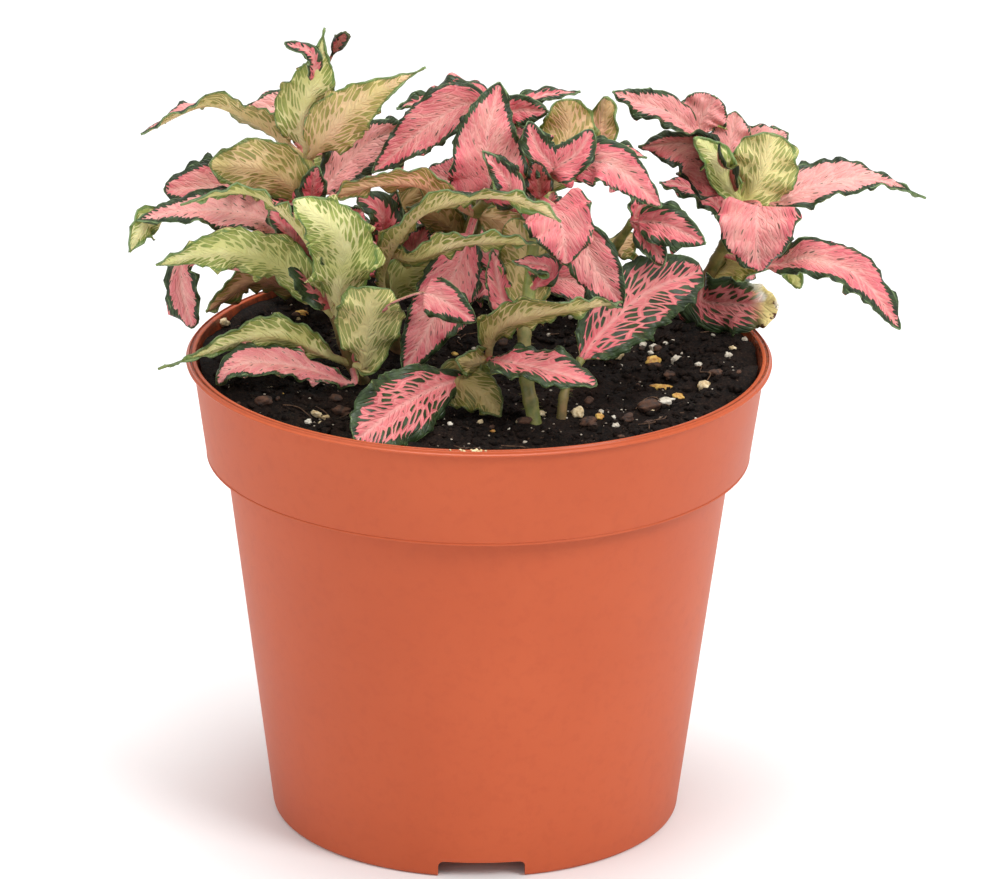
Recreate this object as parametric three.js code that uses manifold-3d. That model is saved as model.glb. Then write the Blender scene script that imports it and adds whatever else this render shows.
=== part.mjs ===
// A potted nerve plant: a plastic nursery pot, its potting soil and eleven leafy stems. Millimetres, +Z up,
// the origin at the middle of the pot's foot, the front towards -Y.
import * as THREE from "three";
import { mergeVertices } from "three/addons/utils/BufferGeometryUtils.js";
import Module from "manifold-3d";

const wasm = await Module();
wasm.setup();

// Driving sizes of the pot
const POT_HEIGHT = 98.8;
const LIP_RADIUS = 60;
const LIP_THICKNESS = 1;
const RIM_INNER_RADIUS = 58;
const BAND_TOP_RADIUS = 58.6;
const BAND_FOOT_RADIUS = 55.9;
const BAND_FOOT_HEIGHT = 77.6;
const WALL_TOP_RADIUS = 52.1;
const FOOT_RADIUS = 42.2;
const WALL = 1.2;
const EDGE_ROUND = 0.4;
const LIP_BEVEL = 0.3;
const FOOT_BEVEL = 0.8;
const RIM_SLOPE_HEIGHT = 2.5;
const POT_SIDES = 44;

// The underside: a flat middle, a raised channel with drain holes, and the foot ring with three notches
const MIDDLE_RADIUS = 26;
const CHANNEL_HEIGHT = 4.4;
const CHANNEL_DRAFT = 0.6;
const FOOT_RING = 1.8;
const DRAIN_HOLES = 6;
const DRAIN_RADIUS = 3;
const DRAIN_CIRCLE = 33;
const DRAIN_SIDES = 14;
const NOTCHES = 3;
const NOTCH_WIDTH = 17.7;
const NOTCH_HEIGHT = 3.6;
const NOTCH_ROUND = 1.2;
const NOTCH_TURN = THREE.MathUtils.degToRad(2);
const NOTCH_REACH = 6;

// Soil
const GAP = 0.3;
const SOIL_TOP = 92.3;
const SOIL_LUMP = 0.7;
const LUMP_WAVE = 0.3;
const RIPPLE_WAVE = 0.5;
const RIPPLE_SHARE = 0.6;
const BANK_HEIGHT = 4.6;
const BANK_INNER = 34;
const BANK_OUTER = 52;
const BANK_FRONT = -32;
const BANK_BACK = -4;
const SOIL_SIDES = 36;
const SOIL_RINGS = 7;

// Leaves and stems
const LEAF_THICKNESS = 0.7;
const SMALL_LEAF = 9;
const STALK_HALF = 0.8;
const TIP_HALF = 0.25;
const RUFFLE = 0.17;
const RUFFLE_WAVES = 3.2;
const LEAF_PHASE = 2.4;
const SIDE_PHASE = 1.9;
const STEM_THINNING = 0.25;
const STEM_SIDES = 6;
const ROOT_DEPTH = 14;

// Leaf points are given as they look from the front and slightly above: across, up and then how far back from
// the pot's axis, all in millimetres. The first two are measured in a picture plane through LOOK_AT.
const EYE = new THREE.Vector3(0, -1236, 528.5);
const LOOK_AT = new THREE.Vector3(0, 0, 120);
const TILT = 0.3482;
const LEAN = 0.0103;
const PICTURE_RIGHT = new THREE.Vector3(
  Math.cos(LEAN), Math.sin(LEAN) * Math.sin(TILT), Math.sin(LEAN) * Math.cos(TILT));
const PICTURE_UP = new THREE.Vector3(
  -Math.sin(LEAN), Math.cos(LEAN) * Math.sin(TILT), Math.cos(LEAN) * Math.cos(TILT));

// Leaf outlines: where along the blade it is widest, and how quickly it narrows to the tip
const FORMS = {
  plain: { peak: 0.38, taper: 0.9 },
  slender: { peak: 0.28, taper: 1.7 },
  broad: { peak: 0.5, taper: 0.55 },
  heart: { peak: 0.2, taper: 0.75 },
  strap: { peak: 0.45, taper: 0.7 },
  waisted: { peak: 0.25, taper: 1.5 },
  flared: { peak: 0.65, taper: 0.7 },
  tailed: { peak: 0.33, taper: 2.2 },
};

// One leaf: the stem point that it grows from, the points of its midrib, its width, the turn of its upper
// face away from the eye in degrees, its outline, its twist, its share of bare stalk and its fold.
function leaf(at, path, width, face, form = "plain", twist = 0, stalk = 0.12, fold = 18) {
  return { at, path, width, face, form, twist, stalk, fold };
}

const STEMS = {
  stem_left: {
    radius: 1.6,
    points: [[-23.5, -28, -1], [-26, -22.5, -3], [-29, -13.5, -4], [-32, -1.5, -3], [-34, 10, -1],
      [-35, 19, 1]],
    leaves: [
      leaf(5, [[-35.8, 29, -3], [-33.4, 35.8, -6], [-32.4, 41.5, -8], [-31.6, 46, -9]],
        12.5, 180, "waisted"),
      leaf(5, [[-34, 29, 1], [-33.5, 36.5, -6], [-34.5, 41, -9.5], [-39.8, 43, -9.5]],
        3.4, 15, "broad", 0, 0.5),
      leaf(5, [[-33, 29, 2], [-31, 38.5, -3], [-27.3, 45.2, -8]], 3, 0, "flared", 0, 0.75),
      leaf(5, [[-32, 23, -5], [-27, 28.5, -8], [-20, 33.5, -9], [-11, 38, -7]], 12, 190, "slender"),
      leaf(5, [[-42.6, 24.8, 2], [-49.9, 28.9, 0], [-57, 30.1, -2], [-69, 24.4, -3]],
        12, 125, "plain", -45),
      leaf(5, [[-39.5, 29, 8], [-48, 29.5, 12]], 9, 30),
      leaf(4, [[-39.9, 15.1, -5], [-45.8, 17.5, -8], [-55.2, 18.2, -9]], 13, 165, "strap"),
      leaf(4, [[-46, 13.8, 5], [-54, 13.8, 7], [-64.4, 13, 6]], 12, 25, "broad"),
      leaf(3, [[-40.3, 5.7, -1], [-50.5, 8.8, -6], [-62, 8.6, -9], [-70, 6.8, -10]], 10, 30, "plain"),
      leaf(3, [[-50.5, 6, -1], [-65.5, 4.8, -8], [-69.6, 4, -10], [-71.4, 0.4, -11]],
        6.5, 150, "heart", 0, 0.78),
      leaf(2, [[-33, -1.5, -10], [-38, 6, -13], [-44.5, 11.5, -15.5], [-52, 12.5, -17], [-61, 10, -18]],
        8, 105),
      leaf(2, [[-34.6, -8.1, -7], [-40.3, -2.4, -11], [-47.9, 0.2, -15], [-56, 0.2, -17],
        [-66, -2.2, -18]], 11, 150, "plain"),
      leaf(3, [[-42.8, -3.3, 2], [-54.6, -2, 2], [-60.3, -2, 2], [-60.5, -7.3, 1], [-58.5, -15.1, 0]],
        7, 15, "broad", 0, 0.62),
      leaf(1, [[-31.6, -20.4, -8], [-38.7, -17.2, -11], [-46.4, -16.8, -13], [-54.6, -19.4, -14],
        [-65.6, -23.4, -16]], 8.5, 150, "tailed"),
      leaf(1, [[-26.2, -26.2, -8], [-36, -23.2, -12], [-45.5, -22, -16], [-50.7, -23.4, -18],
        [-53.6, -26.6, -18]], 8, 35, "flared", 0, 0.08),
      leaf(2, [[-28, 0.5, -17], [-31.5, 6.5, -22], [-38, 11, -23]], 14, 180, "strap"),
      leaf(1, [[-23.4, -22.5, -9], [-22.8, -15.1, -13], [-21.4, -6.8, -18]], 14.5, 180, "flared", 0, 0.05),
      leaf(1, [[-22, -13, -12], [-15.5, -9, -17.5], [-9.8, -8.4, -21], [-0.8, -13.8, -22]],
        8.5, 0, "heart", 0, 0.74),
      leaf(2, [[-34, -4, -8], [-38.5, 3.5, -9], [-43, 9, -10]], 11, 20),
      leaf(4, [[-28, 17.5, 3], [-22, 23, 5], [-15, 26, 7]], 10, 0, "strap"),
      leaf(4, [[-34, 14, -5], [-33, 18, -7]], 6, 0),
      leaf(3, [[-30, 0, 10], [-27, 2, 19], [-25, -1, 26]], 11, 0),
      leaf(4, [[-36, 9, 8], [-40, 8, 16], [-42, 3, 22]], 12, 20),
      leaf(5, [[-34, 21, 9], [-32, 21, 15], [-31, 16, 20]], 10, 0),
    ],
  },
  stem_back_left: {
    radius: 1.5,
    points: [[-24, -16.5, 30], [-26, -8, 31], [-28, -1, 33]],
    leaves: [
      leaf(1, [[-37.1, -6.9, 26], [-46.4, -5.5, 20], [-55.8, -11.8, 17]], 11, 130),
      leaf(2, [[-31, 3, 44], [-35, 4, 58], [-40, 2, 70]], 13, 40),
      leaf(2, [[-38, -2, 38], [-50, -4, 46]], 12, 60),
      leaf(2, [[-27, 5, 38], [-24, 9, 42]], 12, 20),
      leaf(1, [[-24, 0, 42], [-25, 3.5, 54], [-23, 2.5, 66]], 13, 10),
    ],
  },
  stem_middle_left: {
    radius: 1.5,
    points: [[-17, -20, 18], [-19, -10, 9], [-20.5, 1, 4]],
    leaves: [
      leaf(1, [[-20, -5, 1], [-17, 2, -8], [-11, 8.5, -17], [0, 11.5, -24], [9, 10.5, -27],
        [16.5, 6.5, -29]], 9, -115, "strap"),
      leaf(2, [[-14, -1, -9], [-6, 1.5, -14], [2, 2.5, -16], [12, 2, -18]], 8, -120, "strap"),
      leaf(2, [[-20, 8, -3], [-25, 12, -5]], 8, 0, "broad", 30),
      leaf(2, [[-18.5, 6, 0], [-17, 13, -1]], 6, 10),
      leaf(1, [[-16, -5, 8], [-9, 0, 6]], 9, 170),
      leaf(1, [[-15.5, -3, 13], [-10.5, 6, 17]], 12, 0),
      leaf(2, [[-17, 8, 8], [-11, 14, 9]], 9, 160),
    ],
  },
  stem_middle_back: {
    radius: 1.5,
    points: [[-12, -18.5, 23], [-8, -7, 18], [-3, 3, 10], [-1, 8, 3], [1.5, 11, -1]],
    leaves: [
      leaf(4, [[2, 15, -4], [1.5, 24, -3], [4, 35, 2]], 17, 0, "heart", 0, 0.04),
      leaf(4, [[6, 13, -12], [4, 17, -14], [0.5, 21, -13]], 7, 0),
      leaf(3, [[-5, 10, -3], [-13, 14, -9], [-21.5, 14, -11], [-31, 11.5, -11]], 9, 120, "strap"),
      leaf(3, [[-4, -1, -3], [-8, -10, -8], [-15.5, -24, -12]], 12, 0, "strap"),
      leaf(2, [[-8, 7, 4], [-15, 9.5, 2]], 8, 150),
      leaf(2, [[-6, 8, 12], [-10, 12, 14]], 8, 10),
      leaf(3, [[4, 6.5, 2], [9, 4, 3]], 9, 170, "broad"),
    ],
  },
  stem_back: {
    radius: 1.5,
    points: [[-6, -15.5, 31], [-2, 1, 22], [1, 13, 15], [3, 26, 10]],
    leaves: [
      leaf(3, [[-2, 30.5, 7], [-10, 26.5, 2], [-22, 16.5, -3]], 11, 15),
      leaf(3, [[-1, 32, 14], [-8, 31.5, 16], [-17, 29.5, 15]], 8, 50),
      leaf(3, [[7, 29, 12], [14, 29, 10]], 7, 0),
      leaf(3, [[11, 31.5, 16], [20.5, 33, 17]], 5, -50),
      leaf(1, [[-7, 6, 32], [-10, 10, 44], [-12, 9.5, 54]], 12, 20),
      leaf(2, [[4, 14, 26], [4, 14, 36], [6, 10, 46]], 12, 10),
      leaf(2, [[-6, 15, 22], [-12, 16, 28]], 10, 20),
      leaf(3, [[5, 24, 18], [7, 21, 26], [8, 15, 32]], 11, 0),
      leaf(3, [[-1, 23, 17], [-2, 19, 25]], 9, 10),
      leaf(1, [[4, 0, 27], [8, 2, 31]], 9, 0),
    ],
  },
  stem_back_right: {
    radius: 1.5,
    points: [[10, -12, 38], [11, -4, 38], [12, 3, 37]],
    leaves: [
      leaf(2, [[14, 5, 48], [17, 5, 60], [20, 2, 72]], 13, 0),
      leaf(1, [[2, 2, 46], [-3, 4.5, 58], [-6, 2, 70]], 12, 10),
      leaf(2, [[18, 1, 44], [24, -0.5, 51]], 8, -30),
      leaf(2, [[13, 8, 34], [15, 13, 34]], 10, 0),
      leaf(1, [[4, -6, 40], [-4, -7, 43]], 9, 20),
      leaf(1, [[20, -6, 34], [28, -9, 36]], 10, -20),
    ],
  },
  stem_front: {
    radius: 1.6,
    points: [[11, -35, -25], [9.5, -26, -22], [9, -16.5, -19], [10, -7.5, -15], [11, 3, -11],
      [12.5, 11, -8], [14, 15.5, -4]],
    leaves: [
      leaf(2, [[9.5, -6, -14], [9, 1, -9], [6, 7, -6]], 12, 180, "broad", 0, 0.2),
      leaf(3, [[14, -3, -18], [6.5, -1.5, -18]], 6, 40),
      leaf(4, [[19.5, 4, -15], [23.5, -2.5, -17], [29, -11, -15]], 10.5, 0, "plain", 0, 0.3),
      leaf(5, [[13.8, 10.2, -12], [15.2, 8.8, -17], [17, 4, -21], [17.5, -2.2, -22]],
        15, 0, "heart", 0, 0.42),
      leaf(6, [[20, 18, -5], [27, 18, -8], [37, 9.5, -9]], 10, -15),
      leaf(6, [[22, 20.5, 1], [28, 21, 1], [34, 19.5, 0]], 6, -55, "plain", 0, 0.25),
      leaf(6, [[15, 17.3, -8], [11.8, 21.5, -8], [9.8, 27, -7]], 7, 0, "strap", 0, 0.02),
      leaf(6, [[15, 17.3, -8], [19.6, 20.3, -8], [23, 25.3, -7]], 8, 0, "strap", 0, 0.02),
      leaf(5, [[12.2, 12, -8.5], [11.8, 15.5, -9.5], [11.2, 19, -9.5]], 6, 0),
      leaf(5, [[17, 16.5, -6], [25, 21, -5]], 6, 165, "strap"),
      leaf(6, [[17, 20, 3], [18, 25.5, 6], [17, 31.5, 6]], 12.5, 180, "broad"),
      leaf(6, [[21, 21, 7], [24.5, 26, 10], [26, 32, 10]], 9, 150, "broad"),
      leaf(2, [[4.5, -9, -14], [2.5, 1, -10]], 6, 10),
    ],
  },
  stem_low: {
    radius: 1.3,
    points: [[0.5, -30, -11], [1, -25, -13], [1.5, -21.5, -14]],
    leaves: [
      leaf(2, [[5, -22, -26.5], [11, -23.1, -31], [17.5, -24.8, -34], [23.8, -26.8, -35]],
        10.5, -45, "flared", 0, 0.06),
      leaf(2, [[3, -16, -22], [8.5, -13, -29], [17, -11.5, -31], [29, -9.8, -28]], 9, -150, "plain", 30),
      leaf(2, [[-1, -22, -19], [-5, -21.5, -22]], 7, 150),
      leaf(1, [[-4, -25.8, -19], [1, -29, -24], [4.2, -33.2, -27]], 10.5, 170),
      leaf(1, [[-7, -26.4, -21], [-16.4, -31.2, -34], [-25.6, -38.2, -45]], 15, 0, "flared", 0, 0.05, 8),
    ],
  },
  stem_thin: {
    radius: 1.2,
    points: [[16.5, -34, -22], [17.5, -27, -20], [20.5, -21.5, -16]],
    leaves: [
      leaf(2, [[25, -15.7, -9], [33.6, -8.1, 1], [45.2, -3.3, 9]], 16, 5, "broad", 0, 0.02),
    ],
  },
  stem_middle_right: {
    radius: 1.2,
    points: [[22, -16, 20], [25, -8, 14], [27, 0, 8], [31, 6.5, 4]],
    leaves: [
      leaf(3, [[37.5, 6, -1], [46, 2, -3]], 9, 0),
      leaf(3, [[35, 2, 0], [37.5, -2.5, -3]], 6, 0),
      leaf(3, [[32, 9, 5], [34, 12, 6]], 5, 30),
      leaf(2, [[29, 2, 12], [32, 4, 14]], 7, 160),
    ],
  },
  stem_right: {
    radius: 1.7,
    points: [[41.5, -14.5, 31], [45.5, -6.5, 27], [49, 0, 24], [52, 5.5, 22], [53.5, 10, 21],
      [49.5, 17, 29], [45.5, 23, 32]],
    leaves: [
      leaf(1, [[45.6, -9.6, 22], [53.5, -10.4, 15], [60.9, -10.4, 12]], 12.5, 15, "broad", 0, 0.03),
      leaf(4, [[57, 15.5, 18], [59.5, 24.5, 16]], 15, 180, "broad", 0, 0.04),
      leaf(4, [[47.3, 17.9, 19], [42.4, 22.4, 17], [32.2, 21.8, 15]], 14, -30, "plain", 0, 0.12, 35),
      leaf(4, [[50.1, 14.7, 17], [48.1, 19.6, 14], [43.6, 23.6, 12]], 7, 180, "strap", 0, 0.1),
      leaf(3, [[45, 12.5, 24], [36.5, 14.5, 24]], 7, 40),
      leaf(5, [[51, 23, 32], [52, 29, 35]], 10, 0),
      leaf(5, [[56, 21, 34], [62.8, 24.5, 38]], 11, 0),
      leaf(4, [[60.1, 10.4, 20], [67.6, 13.6, 21], [77, 15.1, 22], [85.1, 13.8, 21], [90.8, 11.2, 20]],
        12, -42, "tailed"),
      leaf(4, [[56.4, 10, 14], [56.4, 8, 10], [56.4, 3.2, 7], [57, -3.7, 8]],
        17.5, 0, "heart", 0, 0.42, 14),
      leaf(2, [[59, -2.5, 18], [67, -1, 13], [77.5, -5, 10], [85.5, -15.5, 8]], 9, -25, "strap", 0, 0.25),
      leaf(2, [[59.1, 0.4, 20], [62.3, -2, 20], [65.2, -7.1, 20]], 4.5, 180, "broad", 0, 0.45),
      leaf(1, [[52, -2.5, 23], [59, -3, 20]], 8, 160),
      leaf(6, [[39, 28.5, 30], [33, 30.5, 29], [27, 33, 28]], 8, 30),
      leaf(6, [[45, 27, 33], [48, 32, 34]], 11, 0, "broad"),
      leaf(5, [[51, 12, 38], [53, 6, 45]], 11, 0),
      leaf(2, [[52, -2, 33], [56, -5, 41]], 9, -20),
    ],
  },
};

const materials = {
  pot: makeMaterial(0xd06c4b, 0.5),
  soil: makeMaterial(0x2c211d, 0.95),
  leaves: makeMaterial(0xd98390, 0.55),
};

function makeMaterial(colour, roughness) {
  return new THREE.MeshStandardMaterial({ color: colour, roughness, metalness: 0 });
}

// Solids and their joining

function toManifold(geometry) {
  const bare = geometry.clone();
  bare.deleteAttribute("normal");
  bare.deleteAttribute("uv");
  const merged = mergeVertices(bare, 1e-4);
  return new wasm.Manifold(new wasm.Mesh({
    numProp: 3,
    vertProperties: new Float32Array(merged.attributes.position.array),
    triVerts: new Uint32Array(merged.index.array),
  }));
}

// The largest shell alone: sealed hollows are filled and loose scraps dropped
function largestShell(solid) {
  const shells = solid.decompose();
  shells.sort((a, b) => b.volume() - a.volume());
  return shells[0];
}

function toMesh(solid, name, material) {
  const shape = solid.getMesh();
  const geometry = new THREE.BufferGeometry();
  geometry.setAttribute("position", new THREE.BufferAttribute(new Float32Array(shape.vertProperties), 3));
  geometry.setIndex(new THREE.BufferAttribute(new Uint32Array(shape.triVerts), 1));
  geometry.computeVertexNormals();
  const mesh = new THREE.Mesh(geometry, material);
  mesh.name = name;
  return mesh;
}

function turned(points, sides) {
  const profile = points.map(([radius, height]) => new THREE.Vector2(radius, height));
  const geometry = new THREE.LatheGeometry(profile, sides);
  geometry.rotateX(Math.PI / 2);
  return toManifold(geometry);
}

// A closed solid from rows of points, each row a loop, with a fan at both ends
function loft(rows) {
  const sides = rows[0].length;
  const positions = rows.flat().flatMap((point) => point.toArray());
  const index = [];
  for (let i = 0; i + 1 < rows.length; i++) {
    for (let j = 0; j < sides; j++) {
      const next = (j + 1) % sides;
      const [a, b, c, d] = [i * sides + j, i * sides + next, (i + 1) * sides + next, (i + 1) * sides + j];
      index.push(a, b, c, a, c, d);
    }
  }
  const last = (rows.length - 1) * sides;
  for (let j = 1; j + 1 < sides; j++) {
    index.push(0, j + 1, j);
    index.push(last, last + j, last + j + 1);
  }
  const geometry = new THREE.BufferGeometry();
  geometry.setAttribute("position", new THREE.Float32BufferAttribute(positions, 3));
  geometry.setIndex(index);
  return toManifold(geometry);
}

// Pot

function potProfile() {
  const channelOuter = FOOT_RADIUS - FOOT_RING;
  const floor = CHANNEL_HEIGHT + WALL;
  const lipFoot = POT_HEIGHT - LIP_THICKNESS;
  return [
    [0, 0], [MIDDLE_RADIUS, 0], [MIDDLE_RADIUS + CHANNEL_DRAFT, CHANNEL_HEIGHT],
    [channelOuter, CHANNEL_HEIGHT], [channelOuter + CHANNEL_DRAFT, 0],
    [FOOT_RADIUS - FOOT_BEVEL, 0], [FOOT_RADIUS, FOOT_BEVEL],
    [WALL_TOP_RADIUS, BAND_FOOT_HEIGHT - EDGE_ROUND], [WALL_TOP_RADIUS + EDGE_ROUND, BAND_FOOT_HEIGHT],
    [BAND_FOOT_RADIUS - EDGE_ROUND, BAND_FOOT_HEIGHT], [BAND_FOOT_RADIUS, BAND_FOOT_HEIGHT + EDGE_ROUND],
    [BAND_TOP_RADIUS, lipFoot], [LIP_RADIUS - LIP_BEVEL, lipFoot], [LIP_RADIUS, lipFoot + LIP_BEVEL],
    [LIP_RADIUS, POT_HEIGHT - LIP_BEVEL], [LIP_RADIUS - LIP_BEVEL, POT_HEIGHT],
    [RIM_INNER_RADIUS + EDGE_ROUND, POT_HEIGHT], [RIM_INNER_RADIUS, POT_HEIGHT - EDGE_ROUND],
    [BAND_TOP_RADIUS - WALL, POT_HEIGHT - RIM_SLOPE_HEIGHT],
    [BAND_FOOT_RADIUS - WALL, BAND_FOOT_HEIGHT + WALL], [WALL_TOP_RADIUS - WALL, BAND_FOOT_HEIGHT - WALL],
    [channelOuter + CHANNEL_DRAFT, floor], [MIDDLE_RADIUS, floor], [MIDDLE_RADIUS - WALL, WALL], [0, WALL],
  ];
}

function drainHole(angle) {
  const hole = new THREE.CylinderGeometry(DRAIN_RADIUS, DRAIN_RADIUS, 4 * WALL, DRAIN_SIDES);
  hole.rotateX(Math.PI / 2);
  hole.translate(DRAIN_CIRCLE * Math.sin(angle), -DRAIN_CIRCLE * Math.cos(angle), CHANNEL_HEIGHT + WALL / 2);
  return toManifold(hole);
}

function footNotch(angle) {
  const half = NOTCH_WIDTH / 2;
  const outline = new THREE.Shape();
  outline.moveTo(-half, -1);
  outline.lineTo(half, -1);
  outline.lineTo(half, NOTCH_HEIGHT - NOTCH_ROUND);
  outline.absarc(half - NOTCH_ROUND, NOTCH_HEIGHT - NOTCH_ROUND, NOTCH_ROUND, 0, Math.PI / 2);
  outline.absarc(NOTCH_ROUND - half, NOTCH_HEIGHT - NOTCH_ROUND, NOTCH_ROUND, Math.PI / 2, Math.PI);
  outline.lineTo(-half, -1);
  const depth = 2 * NOTCH_REACH;
  const cutter = new THREE.ExtrudeGeometry(outline, { depth, bevelEnabled: false, curveSegments: 3 });
  cutter.rotateX(Math.PI / 2);
  cutter.translate(0, depth - NOTCH_REACH - FOOT_RADIUS, 0);
  cutter.rotateZ(angle);
  return toManifold(cutter);
}

function makePot() {
  let body = turned(potProfile(), POT_SIDES);
  for (let i = 0; i < DRAIN_HOLES; i++) {
    body = body.subtract(drainHole(((i + 0.5) * 2 * Math.PI) / DRAIN_HOLES));
  }
  for (let i = 0; i < NOTCHES; i++) {
    body = body.subtract(footNotch((i * 2 * Math.PI) / NOTCHES + NOTCH_TURN));
  }
  return body;
}

// Leaves and stems

function seen([across, up, back]) {
  const point = LOOK_AT.clone().addScaledVector(PICTURE_RIGHT, across).addScaledVector(PICTURE_UP, up);
  const ray = point.sub(EYE);
  return EYE.clone().addScaledVector(ray, (back - EYE.y) / ray.y);
}

// Points at even spacing on a smooth curve through the given ones
function smoothPath(points, count) {
  const steps = points.slice(1).map((point, i) => point.distanceTo(points[i]));
  const total = steps.reduce((sum, step) => sum + step, 0);
  const before = points[0].clone().multiplyScalar(2).sub(points[1]);
  const after = points.at(-1).clone().multiplyScalar(2).sub(points.at(-2));
  const guide = [before, ...points, after];
  const path = [];
  for (let i = 0; i < count; i++) {
    let along = (total * i) / (count - 1);
    let k = 0;
    while (k < steps.length - 1 && along > steps[k]) {
      along -= steps[k];
      k += 1;
    }
    path.push(splinePoint(guide.slice(k, k + 4), along / steps[k]));
  }
  return path;
}

function splinePoint([p0, p1, p2, p3], t) {
  const [t2, t3] = [t * t, t * t * t];
  const weights = [-t + 2 * t2 - t3, 2 - 5 * t2 + 3 * t3, t + 4 * t2 - 3 * t3, t3 - t2];
  const point = new THREE.Vector3();
  [p0, p1, p2, p3].forEach((corner, i) => point.addScaledVector(corner, weights[i] / 2));
  return point;
}

function directions(path) {
  return path.map((point, i) => {
    const from = path[Math.max(i - 1, 0)];
    const to = path[Math.min(i + 1, path.length - 1)];
    return to.clone().sub(from).normalize();
  });
}

function stepCount(plan) {
  return plan.path.length + (plan.width < SMALL_LEAF ? 2 : 3);
}

function stripCount(plan) {
  return plan.width < SMALL_LEAF ? 2 : 4;
}

function halfWidth(plan, along) {
  const { peak, taper } = FORMS[plan.form];
  const rise = (taper * peak) / (1 - peak);
  const u = Math.max(0, (along - plan.stalk) / (1 - plan.stalk));
  const blade = (plan.width / 2) * Math.pow(u / peak, rise) * Math.pow((1 - u) / (1 - peak), taper);
  return Math.max(blade, along < 0.5 ? STALK_HALF : TIP_HALF);
}

// The middle surface of a blade: rows from stalk to tip, each row from the left edge to the right
function bladeGrid(stemPoints, plan, number) {
  const steps = stepCount(plan);
  const strips = stripCount(plan);
  const path = smoothPath([stemPoints[plan.at], ...plan.path.map(seen)], steps + 1);
  const fold = THREE.MathUtils.degToRad(plan.fold);
  return directions(path).map((direction, i) => {
    const along = i / steps;
    const toEye = EYE.clone().sub(path[i]);
    toEye.addScaledVector(direction, -toEye.dot(direction)).normalize();
    const side = direction.clone().cross(toEye);
    const turn = THREE.MathUtils.degToRad(plan.face + plan.twist * along * along * (3 - 2 * along));
    const up = toEye.clone().multiplyScalar(Math.cos(turn)).addScaledVector(side, Math.sin(turn));
    const out = side.clone().multiplyScalar(Math.cos(turn)).addScaledVector(toEye, -Math.sin(turn));
    const half = halfWidth(plan, along);
    const u = Math.max(0, (along - plan.stalk) / (1 - plan.stalk));
    const row = [];
    for (let j = 0; j <= strips; j++) {
      const across = (2 * j) / strips - 1;
      const phase = number * LEAF_PHASE + (across < 0 ? 0 : SIDE_PHASE);
      const wave = RUFFLE * Math.sin(2 * Math.PI * RUFFLE_WAVES * u + phase);
      const lift = half * (Math.abs(across) * Math.sin(fold) + wave * Math.pow(Math.abs(across), 1.5));
      const reach = half * across * Math.cos(fold);
      row.push(path[i].clone().addScaledVector(out, reach).addScaledVector(up, lift));
    }
    return row;
  });
}

function gridNormal(grid, i, j) {
  const down = grid[Math.min(i + 1, grid.length - 1)][j].clone().sub(grid[Math.max(i - 1, 0)][j]);
  const across = grid[i][Math.min(j + 1, grid[i].length - 1)].clone().sub(grid[i][Math.max(j - 1, 0)]);
  return across.cross(down).normalize();
}

// A blade of even thickness, split into triangles alike on both faces
function makeLeaf(stemPoints, plan, number) {
  const grid = bladeGrid(stemPoints, plan, number);
  const steps = stepCount(plan);
  const strips = stripCount(plan);
  const columns = strips + 1;
  const lower = columns * (steps + 1);
  const upperPoints = [];
  const lowerPoints = [];
  grid.forEach((row, i) => row.forEach((point, j) => {
    const normal = gridNormal(grid, i, j).multiplyScalar(LEAF_THICKNESS / 2);
    upperPoints.push(...point.clone().add(normal).toArray());
    lowerPoints.push(...point.clone().sub(normal).toArray());
  }));
  const index = [];
  for (let i = 0; i < steps; i++) {
    for (let j = 0; j < strips; j++) {
      const a = i * columns + j;
      const b = a + 1;
      const c = b + columns;
      const d = a + columns;
      index.push(a, b, c, a, c, d);
      index.push(a + lower, c + lower, b + lower, a + lower, d + lower, c + lower);
    }
    const left = i * columns;
    const right = left + strips;
    index.push(left, left + columns, left + lower);
    index.push(left + columns, left + columns + lower, left + lower);
    index.push(right, right + lower, right + columns);
    index.push(right + columns, right + lower, right + columns + lower);
  }
  for (let j = 0; j < strips; j++) {
    const tip = steps * columns + j;
    index.push(j, j + lower, j + 1, j + 1, j + lower, j + 1 + lower);
    index.push(tip, tip + 1, tip + lower, tip + 1, tip + 1 + lower, tip + lower);
  }
  const geometry = new THREE.BufferGeometry();
  geometry.setAttribute("position", new THREE.Float32BufferAttribute([...upperPoints, ...lowerPoints], 3));
  geometry.setIndex(index);
  return toManifold(geometry);
}

function makeTube(points, radiusAt) {
  const path = smoothPath(points, 2 * points.length - 1);
  const rows = directions(path).map((direction, i) => {
    const right = direction.clone().cross(new THREE.Vector3(0, 1, 0)).normalize();
    const front = direction.clone().cross(right);
    const radius = radiusAt(i / (path.length - 1));
    const row = [];
    for (let j = 0; j < STEM_SIDES; j++) {
      const angle = (2 * Math.PI * j) / STEM_SIDES;
      row.push(path[i].clone().addScaledVector(right, radius * Math.cos(angle))
        .addScaledVector(front, radius * Math.sin(angle)));
    }
    return row;
  });
  return loft(rows);
}

function stemPoints(plan) {
  return plan.points.map(seen);
}

function stemRoute(plan) {
  const points = stemPoints(plan);
  const root = points[0].clone();
  root.z -= ROOT_DEPTH;
  return [root, ...points];
}

function makeLeafyStem(plan) {
  const points = stemPoints(plan);
  let body = makeTube(stemRoute(plan), (along) => plan.radius * (1 - STEM_THINNING * along));
  plan.leaves.forEach((item, number) => {
    body = body.add(makeLeaf(points, item, number));
  });
  return largestShell(body);
}

// Soil

// Lumps all over, and a bank against the wall that fades out toward the front
function soilHeight(x, y) {
  const lumps = Math.sin(LUMP_WAVE * x + 1) * Math.cos(LUMP_WAVE * y);
  const ripples = Math.sin(RIPPLE_WAVE * (x - y) + 2);
  const outward = THREE.MathUtils.smoothstep(Math.hypot(x, y), BANK_INNER, BANK_OUTER);
  const backward = THREE.MathUtils.smoothstep(y, BANK_FRONT, BANK_BACK);
  return SOIL_TOP + SOIL_LUMP * (lumps + RIPPLE_SHARE * ripples) + BANK_HEIGHT * outward * backward;
}

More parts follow.
